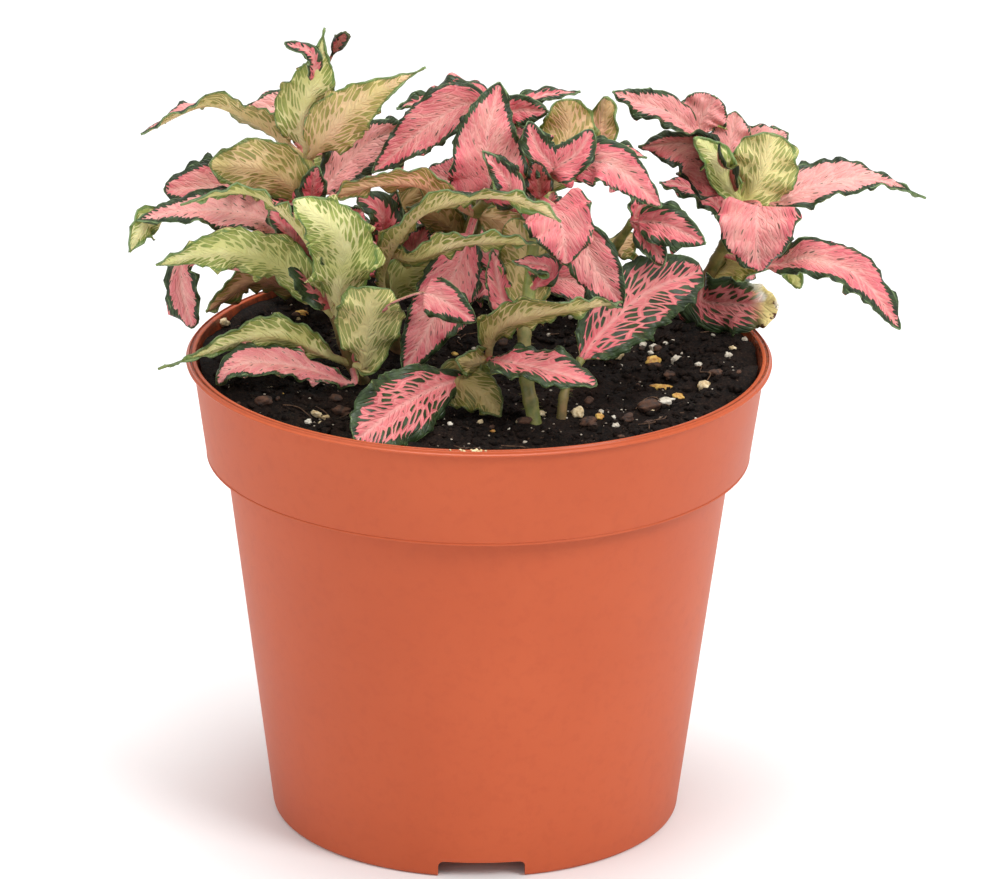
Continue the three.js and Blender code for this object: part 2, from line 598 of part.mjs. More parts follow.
function soilRow(radius, height) {
  const row = [];
  for (let j = 0; j < SOIL_SIDES; j++) {
    const angle = (2 * Math.PI * j) / SOIL_SIDES;
    const x = radius * Math.cos(angle);
    const y = radius * Math.sin(angle);
    row.push(new THREE.Vector3(x, y, height ?? soilHeight(x, y)));
  }
  return row;
}

// The soil fills the pot to a gap from its wall, and each stem stands in a plain hole
function makeSoil() {
  const floor = CHANNEL_HEIGHT + WALL + GAP;
  const slope = (BAND_TOP_RADIUS - BAND_FOOT_RADIUS) / (POT_HEIGHT - BAND_FOOT_HEIGHT);
  const bandRadius = BAND_FOOT_RADIUS - WALL - 3 * GAP;
  const topRadius = bandRadius + slope * (SOIL_TOP - BAND_FOOT_HEIGHT);
  const rows = [
    soilRow(MIDDLE_RADIUS - 2, WALL + GAP),
    soilRow(MIDDLE_RADIUS - 1, floor),
    soilRow(FOOT_RADIUS - FOOT_RING - GAP, floor),
    soilRow(WALL_TOP_RADIUS - WALL - 2 * GAP, BAND_FOOT_HEIGHT - WALL),
    soilRow(bandRadius, BAND_FOOT_HEIGHT + WALL + GAP),
  ];
  for (let i = SOIL_RINGS; i >= 1; i--) {
    rows.push(soilRow((topRadius * i) / SOIL_RINGS));
  }
  let body = loft(rows);
  for (const plan of Object.values(STEMS)) {
    const route = stemRoute(plan).slice(0, 3);
    route[0].z -= GAP;
    body = body.subtract(makeTube(route, () => plan.radius + 2 * GAP));
  }
  return largestShell(body);
}

const plant = new THREE.Group();
plant.name = "potted_nerve_plant";
plant.add(toMesh(makePot(), "pot", materials.pot));
plant.add(toMesh(makeSoil(), "soil", materials.soil));
for (const [name, plan] of Object.entries(STEMS)) {
  plant.add(toMesh(makeLeafyStem(plan), name, materials.leaves));
}

export default plant;
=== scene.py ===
"""A potted nerve plant: Blender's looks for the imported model. The scene is in metres and the tables are in
millimetres."""
import random
from math import cos, hypot, pi, radians, sin, sqrt

import bmesh
import bpy
import numpy as np
from mathutils import Matrix, Vector, kdtree, noise


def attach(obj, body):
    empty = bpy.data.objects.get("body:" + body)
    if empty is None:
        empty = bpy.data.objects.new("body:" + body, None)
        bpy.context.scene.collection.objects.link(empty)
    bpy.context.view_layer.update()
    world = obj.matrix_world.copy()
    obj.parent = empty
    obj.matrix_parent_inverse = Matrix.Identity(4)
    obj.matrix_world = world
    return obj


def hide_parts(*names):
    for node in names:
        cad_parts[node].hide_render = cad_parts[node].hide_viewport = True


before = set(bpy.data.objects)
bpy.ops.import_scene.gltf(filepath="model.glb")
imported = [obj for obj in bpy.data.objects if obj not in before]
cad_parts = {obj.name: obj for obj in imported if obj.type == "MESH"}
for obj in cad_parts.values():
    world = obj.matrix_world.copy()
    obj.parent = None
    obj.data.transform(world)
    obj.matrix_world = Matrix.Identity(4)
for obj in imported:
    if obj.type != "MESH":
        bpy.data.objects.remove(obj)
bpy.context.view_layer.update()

MM = 0.001

# Camera, and the picture plane that the leaf points are measured in
EYE = np.array([0.0, -1236.0, 528.5])
LOOK_AT = np.array([0.0, 0.0, 120.0])
TILT = 0.3482
PAN = 0.0036
LEAN = 0.0103
PICTURE_WIDTH_PX = 1000
FOCAL_PX = 6392
SENSOR_MM = 36
PICTURE_RIGHT = np.array([
    cos(LEAN), sin(LEAN) * sin(TILT), sin(LEAN) * cos(TILT)])
PICTURE_UP = np.array([
    -sin(LEAN), cos(LEAN) * sin(TILT), cos(LEAN) * cos(TILT)])

# Pot, the same sizes as the solid
POT_HEIGHT = 98.8
LIP_RADIUS = 60
LIP_THICKNESS = 1
RIM_INNER_RADIUS = 58
BAND_TOP_RADIUS = 58.6
BAND_FOOT_RADIUS = 55.9
BAND_FOOT_HEIGHT = 77.6
BAND_SLOPE = (BAND_TOP_RADIUS - BAND_FOOT_RADIUS) / (POT_HEIGHT - BAND_FOOT_HEIGHT)
WALL_TOP_RADIUS = 52.1
FOOT_RADIUS = 42.2
WALL = 1.2
MIDDLE_RADIUS = 26
CHANNEL_HEIGHT = 4.4
FOOT_RING = 1.8
DRAIN_HOLES = 6
DRAIN_RADIUS = 3
DRAIN_CIRCLE = 33
NOTCHES = 3
NOTCH_WIDTH = 17.7
NOTCH_HEIGHT = 3.6
NOTCH_ROUND = 1.2
NOTCH_TURN = radians(2)

# Corners of the band's foot and of the rim: how far in and down they lie, and their rounding
BAND_FOOT_CORNERS = [
    (0.8, -0.5, 0.2), (0.7, 0, 0.1), (0, 0, 0.15), (0, -0.35, 0.05), (0.15, -0.5, 0.05), (0, -0.65, 0.05)]
RIM_CORNERS = [
    (0, LIP_THICKNESS, 0.1), (0, 0.7, 0.12), (0.4, 0.5, 0.12), (0.5, 0.05, 0.15), (0.65, 0, 0.05),
    (0.8, 0.4, 0.1), (1.1, 0.4, 0.1), (1.3, 0, 0.12), (LIP_RADIUS - RIM_INNER_RADIUS, 0.05, 0.3)]

# Finer forms of the pot, and the blocks that cut its notches
NOTCH_OUTSIDE = 4
NOTCH_INSIDE = 8
RIM_GROOVE_RADIUS = LIP_RADIUS - 0.95
RIM_GROOVE_HALF = 0.2
RIM_GROOVE_DEPTH = 0.6
ARC_STEPS = 6
POT_SIDES = 192
SHARP_ANGLE = radians(40)
LIP_POLISH = 0.2
DRAIN_SIDES = 32

# Soil, the same sizes as the solid
GAP = 0.3
SOIL_TOP = 92.3
SOIL_LUMP = 0.7
SOIL_RADIUS = 56.3
WALL_SLOPE = 0.154
LUMP_WAVE = 0.3
RIPPLE_WAVE = 0.5
RIPPLE_SHARE = 0.6
BANK_HEIGHT = 4.6
BANK_INNER = 34
BANK_OUTER = 52
BANK_FRONT = -32
BANK_BACK = -4

# Finer forms of the soil: clods, crumbs, loose grains and fibres
BACK_RISE = 0.5
SOIL_LIMIT = POT_HEIGHT - 0.9
CLOD_HEIGHT = 0.7
CLODS_PER_MM = 0.16
CRUMB_HEIGHT = 0.4
CRUMBS_PER_MM = 0.9
SOIL_SIDES = 168
SOIL_RINGS = 60
SCATTER_RADIUS = SOIL_RADIUS - 2
CRUMBS = 3600
LEAST_CRUMB = 0.4
CRUMB_SPAN = 1.8
CRUMB_RARITY = 2.2
LOOSE_GRAINS = {"white": 33, "cream": 16, "yellow": 11, "bark": 49}
BARK_SCALE = 1.6
ANY_TURN = (0, 6.28)
LUMP_BULGES = 1.6
LUMP_FLATNESS = 0.8
FINE_SPECKS = 420
FIBRES = 26
FIBRE_RADIUS = 0.11
FIBRE_POINTS = 5
FIBRE_STEP = 1.9
FIBRE_LIFT = 0.35
FIBRE_SIDES = 5
FIBRE_STEPS = 14

# Pale crust on the rim: its place and spread are in degrees round the pot
RIM_SPECKS = 14
CRUST_AROUND = -91.3
CRUST_SPREAD = 1.5
CRUST_SIZE = 0.9

# Leaves: their grid, their stalk and tip, and how the values for their material fade
LEAF_STEPS = 56
LEAF_STRIPS = 16
LINE_CROWDING = 0.85
STALK_HALF = 0.8
TIP_HALF = 0.25
BLADE_START = 0.12
BLADE_END = 0.06
STALK_FADE = 0.1
STALK_EDGE = 3.0
TIP_EDGE_RATE = 0.8
LEAST_EDGE = 0.02
SCORCHED_SHARE = 0.3
SCORCH_GAIN = 1.6

# Leaf edges: broad waves, teeth, frill, spikes, the ripple of the veins, and the edge's curl
RUFFLE = 0.17
RUFFLE_WAVES = 3.2
LEAF_PHASE = 2.4
SIDE_PHASE = 1.9
TEETH = 0.13
TEETH_PER_MM = 0.75
FRILL = 2.0
FRILL_PER_MM = 0.42
SPIKE = 3.4
SPIKES_PER_MM = 0.36
SPIKE_FLOOR = 0.16
FULL_SPIKE_HALF = 3
RIPPLE = 0.14
RIPPLE_PITCH = 3.2
CURL = 0.5

# Half the thickness of a leaf at its edge, what its middle and its stalk add, and the midrib
EDGE_HALF = 0.16
MIDDLE_SWELL = 0.1
STALK_SWELL = 0.5
RIDGE = 0.4
RIDGE_WIDTH = 0.55
GROOVE = 0.22
GROOVE_WIDTH = 0.5

# The cells between a leaf's veins
CELL_WIDTH = 1.25
CELL_LENGTH = 1.35
VEIN_SLANT = 1.6
VEIN_WOBBLE = 1.4

# Values that the leaf material reads: places on the leaf, and the looks given for each leaf
LEAF_PLACES = ("along_mm", "across_mm", "edge_mm", "scorch")
LEAF_LOOKS = ("net", "tan", "pale", "dim")
LEAF_VALUES = (*LEAF_PLACES, *LEAF_LOOKS, "seed", "underside", "redness")
SEED_SPACING = 31
SEED_CYCLE = 29

# Stems, which swell at their nodes, and the hairs on them
STEM_THINNING = 0.25
SLIM_SHARE = 0.95
NODE_SWELLING = 0.16
NODE_SHARPNESS = 8
STEM_SIDES = 14
STEM_STEPS = 10
TOP_REDNESS = 0.15
HAIR_REDNESS = 0.3
HAIR_RADIUS = 0.05
HAIRS_PER_JOINT = 45
HAIR_CROWDING = 1.4
HAIR_ROOT = 0.9
HAIR_LEAN = 0.35
HAIR_LENGTHS = (0.7, 1.5)
ROOT_DEPTH = 14

# Floor, and light: each lamp's place and size in metres, and its power in watts
FLOOR_HALF = 4000
SKY_STRENGTH = 0.72
LIGHT_AIM = (0, 0, 0.1)
LIGHTS = {
    "key": ((0.85, -0.75, 0.98), 0.6, 10.4),
    "fill": ((-0.9, -0.7, 0.6), 0.9, 2.5),
    "top": ((0.0, 0.1, 1.3), 0.7, 9),
}

# Leaf outlines: where along the blade it is widest, and how quickly it narrows to the tip
FORMS = {
    "plain": (0.38, 0.9),
    "slender": (0.28, 1.7),
    "broad": (0.5, 0.55),
    "heart": (0.2, 0.75),
    "strap": (0.45, 0.7),
    "waisted": (0.25, 1.5),
    "flared": (0.65, 0.7),
    "tailed": (0.33, 2.2),
}


def leaf(at, path, width, face, form="plain", twist=0, stalk=0.12, fold=18,
         net=0.15, tan=0.0, pale=0.0, dim=0.0, scorch=0.0):
    """One leaf, as in the part's source, with its colouring: how far the dark net spreads over the upper
    face, how tan the lower face is, how pale it is (partly its own paler tone, partly painted light),
    how much painted shade darkens it and how far its tip is scorched."""
    return {
        "at": at, "path": path, "width": width, "face": face, "form": form, "twist": twist,
        "stalk": stalk, "fold": fold, "net": net, "tan": tan, "pale": pale, "dim": dim, "scorch": scorch,
    }


def stem(radius, points, *leaves, redness=0.95):
    """One stem: its points from the soil up, its leaves, and how red its skin is near the soil."""
    return {"radius": radius, "points": points, "leaves": leaves, "redness": redness}


STEMS = {}
STEMS["stem_left"] = stem(
    1.6, [[-23.5, -28, -1], [-26, -22.5, -3], [-29, -13.5, -4], [-32, -1.5, -3], [-34, 10, -1],
        [-35, 19, 1]],
    leaf(5, [[-35.8, 29, -3], [-33.4, 35.8, -6], [-32.4, 41.5, -8], [-31.6, 46, -9]],
        12.5, 180, "waisted", tan=0.1),
    leaf(5, [[-34, 29, 1], [-33.5, 36.5, -6], [-34.5, 41, -9.5], [-39.8, 43, -9.5]],
        3.4, 15, "broad", 0, 0.5, tan=0.1),
    leaf(5, [[-33, 29, 2], [-31, 38.5, -3], [-27.3, 45.2, -8]],
        3, 0, "flared", 0, 0.75, tan=1.0, dim=0.5),
    leaf(5, [[-32, 23, -5], [-27, 28.5, -8], [-20, 33.5, -9], [-11, 38, -7]],
        12, 190, "slender", tan=0.6),
    leaf(5, [[-42.6, 24.8, 2], [-49.9, 28.9, 0], [-57, 30.1, -2], [-69, 24.4, -3]],
        12, 125, "plain", -45, tan=0.35, pale=0.3),
    leaf(5, [[-39.5, 29, 8], [-48, 29.5, 12]], 9, 30, pale=0.6),
    leaf(4, [[-39.9, 15.1, -5], [-45.8, 17.5, -8], [-55.2, 18.2, -9]],
        13, 165, "strap", tan=0.45, dim=0.2),
    leaf(4, [[-46, 13.8, 5], [-54, 13.8, 7], [-64.4, 13, 6]], 12, 25, "broad", dim=0.08),
    leaf(3, [[-40.3, 5.7, -1], [-50.5, 8.8, -6], [-62, 8.6, -9], [-70, 6.8, -10]],
        10, 30, "plain", pale=0.35),
    leaf(3, [[-50.5, 8.2, 0.5], [-65.5, 7.2, -7], [-69.6, 4, -10], [-71.4, 0.4, -11]],
        6.5, 150, "heart", 0, 0.78),
    leaf(2, [[-33, -1.5, -10], [-38, 6, -13], [-44.5, 11.5, -15.5], [-52, 12.5, -17], [-61, 10, -18]],
        8, 105, tan=0.15),
    leaf(2, [[-34.6, -8.1, -7], [-40.3, -2.4, -11], [-47.9, 0.2, -15], [-56, 0.2, -17],
        [-66, -2.2, -18]], 11, 150, "plain", dim=0.08),
    leaf(3, [[-42.8, -3.3, 2], [-54.6, -2, 2], [-60.3, -2, 2], [-60.5, -7.3, 1], [-58.5, -15.1, 0]],
        7, 15, "broad", 0, 0.62, net=0.05, pale=0.15),
    leaf(1, [[-31.6, -20.4, -8], [-38.7, -17.2, -11], [-46.4, -16.8, -13], [-54.6, -19.4, -14],
        [-65.6, -23.4, -16]], 8.5, 150, "tailed", dim=0.2),
    leaf(1, [[-26.2, -26.2, -8], [-36, -23.2, -12], [-45.5, -22, -16], [-50.7, -23.4, -18],
        [-53.6, -26.6, -18]], 8, 35, "flared", 0, 0.08, net=0.0, pale=0.15),
    leaf(2, [[-28, 0.5, -18.2], [-31.5, 6.5, -23.2], [-38, 11, -24.2]], 14, 180, "strap"),
    leaf(1, [[-23.4, -22.5, -9], [-22.8, -15.1, -13], [-21.4, -6.8, -18]],
        14.5, 180, "flared", 0, 0.05, pale=0.8),
    leaf(1, [[-22, -13, -12], [-15.5, -9, -17.5], [-9.8, -8.4, -21], [-0.8, -13.8, -22]],
        8.5, 0, "heart", 0, 0.74),
    leaf(2, [[-34, -4, -6.8], [-38.5, 3.5, -7.6], [-43, 9, -8.5]], 11, 20, net=0.75),
    leaf(4, [[-28, 17.5, 3], [-22, 23, 5], [-15, 26, 7]], 10, 0, "strap", pale=0.35),
    leaf(4, [[-34, 14, -5], [-33, 18, -7]], 6, 0),
    leaf(3, [[-30, 0, 10], [-27, 2, 19], [-25, -1, 26]], 11, 0),
    leaf(4, [[-36, 9, 8], [-40, 8, 16], [-42, 3, 22]], 12, 20),
    leaf(5, [[-34, 21, 9], [-32, 21, 15], [-31, 16, 20]], 10, 0))
STEMS["stem_back_left"] = stem(
    1.5, [[-24, -16.5, 30], [-26, -8, 31], [-28, -1, 33]],
    leaf(1, [[-37.1, -6.9, 26], [-46.4, -5.5, 20], [-55.8, -11.8, 17]], 11, 130, tan=1.0, dim=0.12),
    leaf(2, [[-31, 3, 44], [-35, 4, 58], [-40, 2, 70]], 13, 40),
    leaf(2, [[-38, -2, 38], [-50, -4, 46]], 12, 60),
    leaf(2, [[-27, 5, 38], [-24, 9, 42]], 12, 20),
    leaf(1, [[-24, 0, 42], [-25, 3.5, 54], [-23, 2.5, 66]], 13, 10))
STEMS["stem_middle_left"] = stem(
    1.5, [[-17, -20, 18], [-19, -10, 9], [-20.5, 1, 4]],
    leaf(1, [[-20, -5, 1], [-17, 2, -8], [-11, 8.5, -17], [0, 11.5, -24], [9, 10.5, -27],
        [16.5, 6.5, -29]], 9, -115, "strap", tan=0.35),
    leaf(2, [[-14, -1, -9], [-6, 1.5, -14], [2, 2.5, -16], [12, 2, -18]], 8, -120, "strap", tan=0.3),
    leaf(2, [[-20, 8, -3], [-25, 12, -5]], 8, 0, "broad", 30, net=0.7),
    leaf(2, [[-18.5, 6, 0], [-17, 13, -1]], 6, 10),
    leaf(1, [[-16, -5, 8], [-9, 0, 6]], 9, 170),
    leaf(1, [[-15.5, -3, 13], [-10.5, 6, 17]], 12, 0, dim=0.45),
    leaf(2, [[-17, 8, 8], [-11, 14, 9]], 9, 160, tan=0.5, dim=0.45))
STEMS["stem_middle_back"] = stem(
    1.5, [[-12, -18.5, 23], [-8, -7, 18], [-3, 3, 10], [-1, 8, 3], [1.5, 11, -1]],
    leaf(4, [[2, 15, -4], [1.5, 24, -3], [4, 35, 2]], 17, 0, "heart", 0, 0.04),
    leaf(4, [[6, 13, -12], [4, 17, -14], [0.5, 21, -13]], 7, 0),
    leaf(3, [[-5, 10, -3], [-13, 14, -9], [-21.5, 14, -11], [-31, 11.5, -11]], 9, 120, "strap", tan=0.75),
    leaf(3, [[-4, -1, -3], [-8, -10, -8], [-15.5, -24, -12]], 12, 0, "strap"),
    leaf(2, [[-8, 7, 4], [-15, 9.5, 2]], 8, 150, tan=0.6, dim=0.35),
    leaf(2, [[-6, 8, 12], [-10, 12, 14]], 8, 10, net=0.6),
    leaf(3, [[4, 6.5, 2], [9, 4, 3]], 9, 170, "broad", tan=0.8, dim=0.3))
STEMS["stem_back"] = stem(
    1.5, [[-6, -15.5, 31], [-2, 1, 22], [1, 13, 15], [3, 26, 10]],
    leaf(3, [[-2, 30.5, 7], [-10, 26.5, 2], [-22, 16.5, -3]], 11, 15, dim=0.18),
    leaf(3, [[-1, 32, 14], [-8, 31.5, 16], [-17, 29.5, 15]], 8, 50, pale=0.1),
    leaf(3, [[7, 29, 12], [14, 29, 10]], 7, 0),
    leaf(3, [[11, 31.5, 16], [20.5, 33, 17]], 5, -50),
    leaf(1, [[-7, 6, 32], [-10, 10, 44], [-12, 9.5, 54]], 12, 20),
    leaf(2, [[4, 14, 26], [4, 14, 36], [6, 10, 46]], 15, 10),
    leaf(2, [[-6, 15, 22], [-12, 16, 28]], 10, 20),
    leaf(3, [[5, 24, 18], [7, 21, 26], [8, 15, 32]], 11, 0),
    leaf(3, [[-1, 23, 17], [-2, 19, 25]], 9, 10),
    leaf(1, [[4, 0, 27], [8, 2, 31]], 9, 0))
STEMS["stem_back_right"] = stem(
    1.5, [[10, -12, 38], [11, -4, 38], [12, 3, 37]],
    leaf(2, [[14, 5, 48], [17, 5, 60], [20, 2, 72]], 13, 0),
    leaf(1, [[2, 2, 46], [-3, 4.5, 58], [-6, 2, 70]], 12, 10),
    leaf(2, [[18, 1, 44], [24, -0.5, 51]], 8, -30),
    leaf(2, [[13, 8, 34], [15, 13, 34]], 10, 0),
    leaf(1, [[4, -6, 40], [-4, -7, 43]], 9, 20),
    leaf(1, [[20, -6, 34], [28, -9, 36]], 10, -20))
STEMS["stem_front"] = stem(
    1.6, [[11, -35, -25], [9.5, -26, -22], [9, -16.5, -19], [10, -7.5, -15], [11, 3, -11],
        [12.5, 11, -8], [14, 15.5, -4]],
    leaf(2, [[9.5, -6, -14], [9, 1, -9], [6, 7, -6]], 12, 180, "broad", 0, 0.2, tan=0.5, dim=0.15),
    leaf(3, [[14, -3, -18], [6.5, -1.5, -18]], 6, 40),
    leaf(4, [[19.5, 4, -15], [23.5, -2.5, -17], [29, -11, -15]], 10.5, 0, "plain", 0, 0.3),
    leaf(5, [[13.8, 10.2, -12], [15.2, 8.8, -17], [17, 4, -21], [17.5, -2.2, -22]],
        15, 0, "heart", 0, 0.42),
    leaf(6, [[20, 18, -5], [27, 18, -8], [37, 9.5, -9]], 10, -15),
    leaf(6, [[22, 20.5, 1], [28, 21, 1], [34, 19.5, 0]], 6, -55, "plain", 0, 0.25),
    leaf(6, [[15, 17.3, -8], [11.8, 21.5, -8], [9.8, 27, -7]], 7, 0, "strap", 0, 0.02),
    leaf(6, [[15, 17.3, -8], [19.6, 20.3, -8], [23, 25.3, -7]], 8, 0, "strap", 0, 0.02),
    leaf(5, [[12.2, 12, -8.5], [11.8, 15.5, -9.5], [11.2, 19, -9.5]], 6, 0, dim=0.5),
    leaf(5, [[17, 16.5, -6], [25, 21, -5]], 6, 165, "strap", tan=0.3),
    leaf(6, [[17, 20, 3], [18, 25.5, 6], [17, 31.5, 6]], 12.5, 180, "broad", tan=0.8),
    leaf(6, [[21, 21, 7], [24.5, 26, 10], [26, 32, 10]], 9, 150, "broad", tan=1.0),
    leaf(2, [[4.5, -9, -14], [2.5, 1, -10]], 6, 10),
    redness=0.35)
STEMS["stem_low"] = stem(
    1.3, [[0.5, -30, -11], [1, -25, -13], [1.5, -21.5, -14]],
    leaf(2, [[5, -22, -26.5], [11, -23.1, -31], [17.5, -24.8, -34], [23.8, -26.8, -35]],
        10.5, -45, "flared", 0, 0.06, net=0.7),
    leaf(2, [[3, -16, -22], [8.5, -13, -29], [17, -11.5, -31], [29, -9.8, -28]],
        9, -150, "plain", 30, net=0.5, tan=0.3, dim=0.2),
    leaf(2, [[-1, -22, -19], [-5, -21.5, -22]], 7, 150, tan=0.4, dim=0.2),
    leaf(1, [[-4, -25.8, -19], [1, -29, -24], [4.2, -33.2, -27]], 10.5, 170, tan=0.1, dim=0.45),
    leaf(1, [[-7, -26.4, -21], [-16.4, -31.2, -34], [-25.6, -38.2, -45]],
        15, 0, "flared", 0, 0.05, 8, net=0.8),
    redness=0.7)
STEMS["stem_thin"] = stem(
    1.2, [[16.5, -34, -22], [17.5, -27, -20], [20.5, -21.5, -16]],
    leaf(2, [[25, -15.7, -9], [33.6, -8.1, 1], [45.2, -3.3, 9]], 16, 5, "broad", 0, 0.02, net=0.9),
    redness=1.1)
STEMS["stem_middle_right"] = stem(
    1.2, [[22, -16, 20], [25, -8, 14], [27, 0, 8], [31, 6.5, 4]],
    leaf(3, [[37.5, 6, -1], [46, 2, -3]], 9, 0, net=0.62),
    leaf(3, [[35, 2, 0], [37.5, -2.5, -3]], 6, 0, net=0.4),
    leaf(3, [[32, 9, 5], [34, 12, 6]], 5, 30),
    leaf(2, [[29, 2, 12], [32, 4, 14]], 7, 160, tan=0.6, dim=0.3))
STEMS["stem_right"] = stem(
    1.7, [[41.5, -14.5, 31], [45.5, -6.5, 27], [49, 0, 24], [52, 5.5, 22], [53.5, 10, 21],
        [49.5, 17, 29], [45.5, 23, 32]],
    leaf(1, [[45.6, -9.6, 22], [53.5, -10.4, 15], [60.9, -10.4, 12]],
        12.5, 15, "broad", 0, 0.03, net=0.8, scorch=1.0),
    leaf(4, [[57, 15.5, 18], [59.5, 24.5, 16]], 15, 180, "broad", 0, 0.04, tan=0.1, pale=0.8),
    leaf(4, [[47.3, 17.9, 19], [42.4, 22.4, 17], [32.2, 21.8, 15]],
        14, -30, "plain", 0, 0.12, 35, tan=0.5, dim=0.42),
    leaf(4, [[50.1, 14.7, 17], [48.1, 19.6, 14], [43.6, 23.6, 12]], 7, 180, "strap", 0, 0.1),
    leaf(3, [[45, 12.5, 24], [36.5, 14.5, 24]], 7, 40),
    leaf(5, [[51, 23, 32], [52, 29, 35]], 10, 0, pale=0.35),
    leaf(5, [[56, 21, 34], [62.8, 24.5, 38]], 11, 0, pale=0.45),
    leaf(4, [[60.1, 10.4, 20], [67.6, 13.6, 21], [77, 15.1, 22], [85.1, 13.8, 21], [90.8, 11.2, 20]],
        12, -42, "tailed", pale=0.35, net=0.3),
    leaf(4, [[56.4, 10, 14], [56.4, 8, 10], [56.4, 3.2, 7], [57, -3.7, 8]],
        17.5, 0, "heart", 0, 0.42, 14, net=0.3),
    leaf(2, [[59, -2.5, 18], [67, -1, 13], [77.5, -5, 10], [85.5, -15.5, 8]],
        9, -25, "strap", 0, 0.25, net=0.1),
    leaf(2, [[59.1, 0.4, 20], [62.3, -2, 20], [65.2, -7.1, 20]], 4.5, 180, "broad", 0, 0.45),
    leaf(1, [[52, -2.5, 23], [59, -3, 20]], 8, 160, tan=0.5),
    leaf(6, [[39, 28.5, 30], [33, 30.5, 29], [27, 33, 28]], 8, 30, pale=0.3),
    leaf(6, [[45, 27, 33], [48, 32, 34]], 11, 0, "broad", pale=0.3),
    leaf(5, [[51, 12, 38], [53, 6, 45]], 11, 0),
    leaf(2, [[52, -2, 33], [56, -5, 41]], 9, -20))

rng = random.Random(20)


# Small helpers for objects and meshes

def new_object(name, data):
    item = bpy.data.objects.new(name, data)
    bpy.context.scene.collection.objects.link(item)
    return item


def new_mesh(name, vertices, faces):
    """A mesh from points in millimetres."""
    mesh = bpy.data.meshes.new(name)
    mesh.from_pydata([tuple(float(c) * MM for c in v) for v in vertices], [], faces)
    mesh.update()
    return mesh


def new_piece(name, vertices, faces, slot, materials=(), node=None):
    """A smooth piece that rides on the pot, in place of the node if one is named."""
    piece = new_object(name, new_mesh(name, vertices, faces))
    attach(piece, "root")
    if node:
        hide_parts(node)
    for material in materials:
        piece.data.materials.append(material)
    smooth(piece)
    return piece


def smooth(piece):
    for polygon in piece.data.polygons:
        polygon.use_smooth = True


def put_attribute(piece, name, values):
    layer = piece.data.attributes.new(name, "FLOAT", "POINT")
    layer.data.foreach_set("value", np.asarray(values, dtype=np.float32).ravel())


def step_between(low, high, value):
    t = np.clip((value - low) / (high - low), 0, 1)
    return t * t * (3 - 2 * t)


# Node helpers for materials

# Places of the colour sockets on a mix node
COLOUR_A = 6
COLOUR_B = 7
COLOUR_RESULT = 2


class Field:
    """A value or colour of a material that changes from place to place. A sum with it adds a node."""

    def __init__(self, nodes, socket):
        self.nodes = nodes
        self.socket = socket

    def __add__(self, other):
        return self.nodes.math("ADD", self, other)

    def __sub__(self, other):
        return self.nodes.math("SUBTRACT", self, other)

    def __mul__(self, other):
        return self.nodes.math("MULTIPLY", self, other)

    def __truediv__(self, other):
        return self.nodes.math("DIVIDE", self, other)

    def ramp(self, low=0.3, high=0.7, to_low=0.0, to_high=1.0):
        """A smooth step from one level, where the value is low, to another, where it is high."""
        inputs = {"Value": self, "From Min": low, "From Max": high, "To Min": to_low, "To Max": to_high}
        return self.nodes.add("ShaderNodeMapRange", "Result", inputs, interpolation_type="SMOOTHSTEP")


class Nodes:
    """A short way to write a material's nodes."""

    def __init__(self, name):
        self.material = bpy.data.materials.new(name)
        self.material.use_nodes = True
        self.tree = self.material.node_tree
        self.place = self.add("ShaderNodeTexCoord", "Object", {})

    def feed(self, socket, value):
        if isinstance(value, Field):
            self.tree.links.new(value.socket, socket)
        elif isinstance(value, tuple) and len(value) < len(socket.default_value):
            socket.default_value = (*value, 1)
        else:
            socket.default_value = value

    def add(self, kind, output, inputs, **settings):
        """A new node's output. Its inputs are given by their names or places."""
        node = self.tree.nodes.new(kind)
        for key, value in settings.items():
            setattr(node, key, value)
        for key, value in inputs.items():
            self.feed(node.inputs[key], value)
        return Field(self, node.outputs[output])

    def math(self, operation, *values, clamp=False):
        return self.add("ShaderNodeMath", 0, dict(enumerate(values)), operation=operation, use_clamp=clamp)

    def most(self, first, second):
        return self.math("MAXIMUM", first, second)

    def mix(self, factor, first, second, blend="MIX"):
        inputs = {"Factor": factor, COLOUR_A: first, COLOUR_B: second}
        return self.add("ShaderNodeMix", COLOUR_RESULT, inputs, data_type="RGBA", blend_type=blend)

    def attributes(self, *names):
        return [self.add("ShaderNodeAttribute", "Fac", {}, attribute_name=name) for name in names]

    def vector(self, x, y):
        return self.add("ShaderNodeCombineXYZ", 0, {0: x, 1: y})

    def noise(self, scale, detail=3.0, roughness=0.55, vector=None):
        inputs = {"Vector": vector or self.place, "Scale": scale, "Detail": detail, "Roughness": roughness}
        return self.add("ShaderNodeTexNoise", "Fac", inputs)

    def voronoi(self, vector, feature, output):
        inputs = {"Vector": vector, "Scale": 1.0}
        return self.add("ShaderNodeTexVoronoi", output, inputs, voronoi_dimensions="2D", feature=feature)

    def bump(self, height, strength, distance, under=None):
        inputs = {"Strength": strength, "Distance": distance, "Height": height}
        if under:
            inputs["Normal"] = under
        return self.add("ShaderNodeBump", "Normal", inputs)

    def surface(self, colour, roughness, **sockets):
        """The finished material. What is the same all over is set on the shader's own sockets."""
        shader = self.tree.nodes["Principled BSDF"]
        self.feed(shader.inputs["Base Color"], colour)
        self.feed(shader.inputs["Roughness"], roughness)
        for key, value in sockets.items():
            self.feed(shader.inputs[SHADER_SOCKETS[key]], value)
        return self.material


SHADER_SOCKETS = {
    "normal": "Normal",
    "specular": "Specular IOR Level",
    "subsurface": "Subsurface Weight",
    "depths": "Subsurface Radius",
}


def linear(level):
    """The brightness of a screen level from 0 to 255, by the sRGB curve."""
    if level > 10:
        return ((level / 255 + 0.055) / 1.055) ** 2.4
    return level / 255 / 12.92


def rgb(*levels):
    """A shader colour from one as seen on screen, 0 to 255."""
    return tuple(linear(level) for level in levels)


# Materials

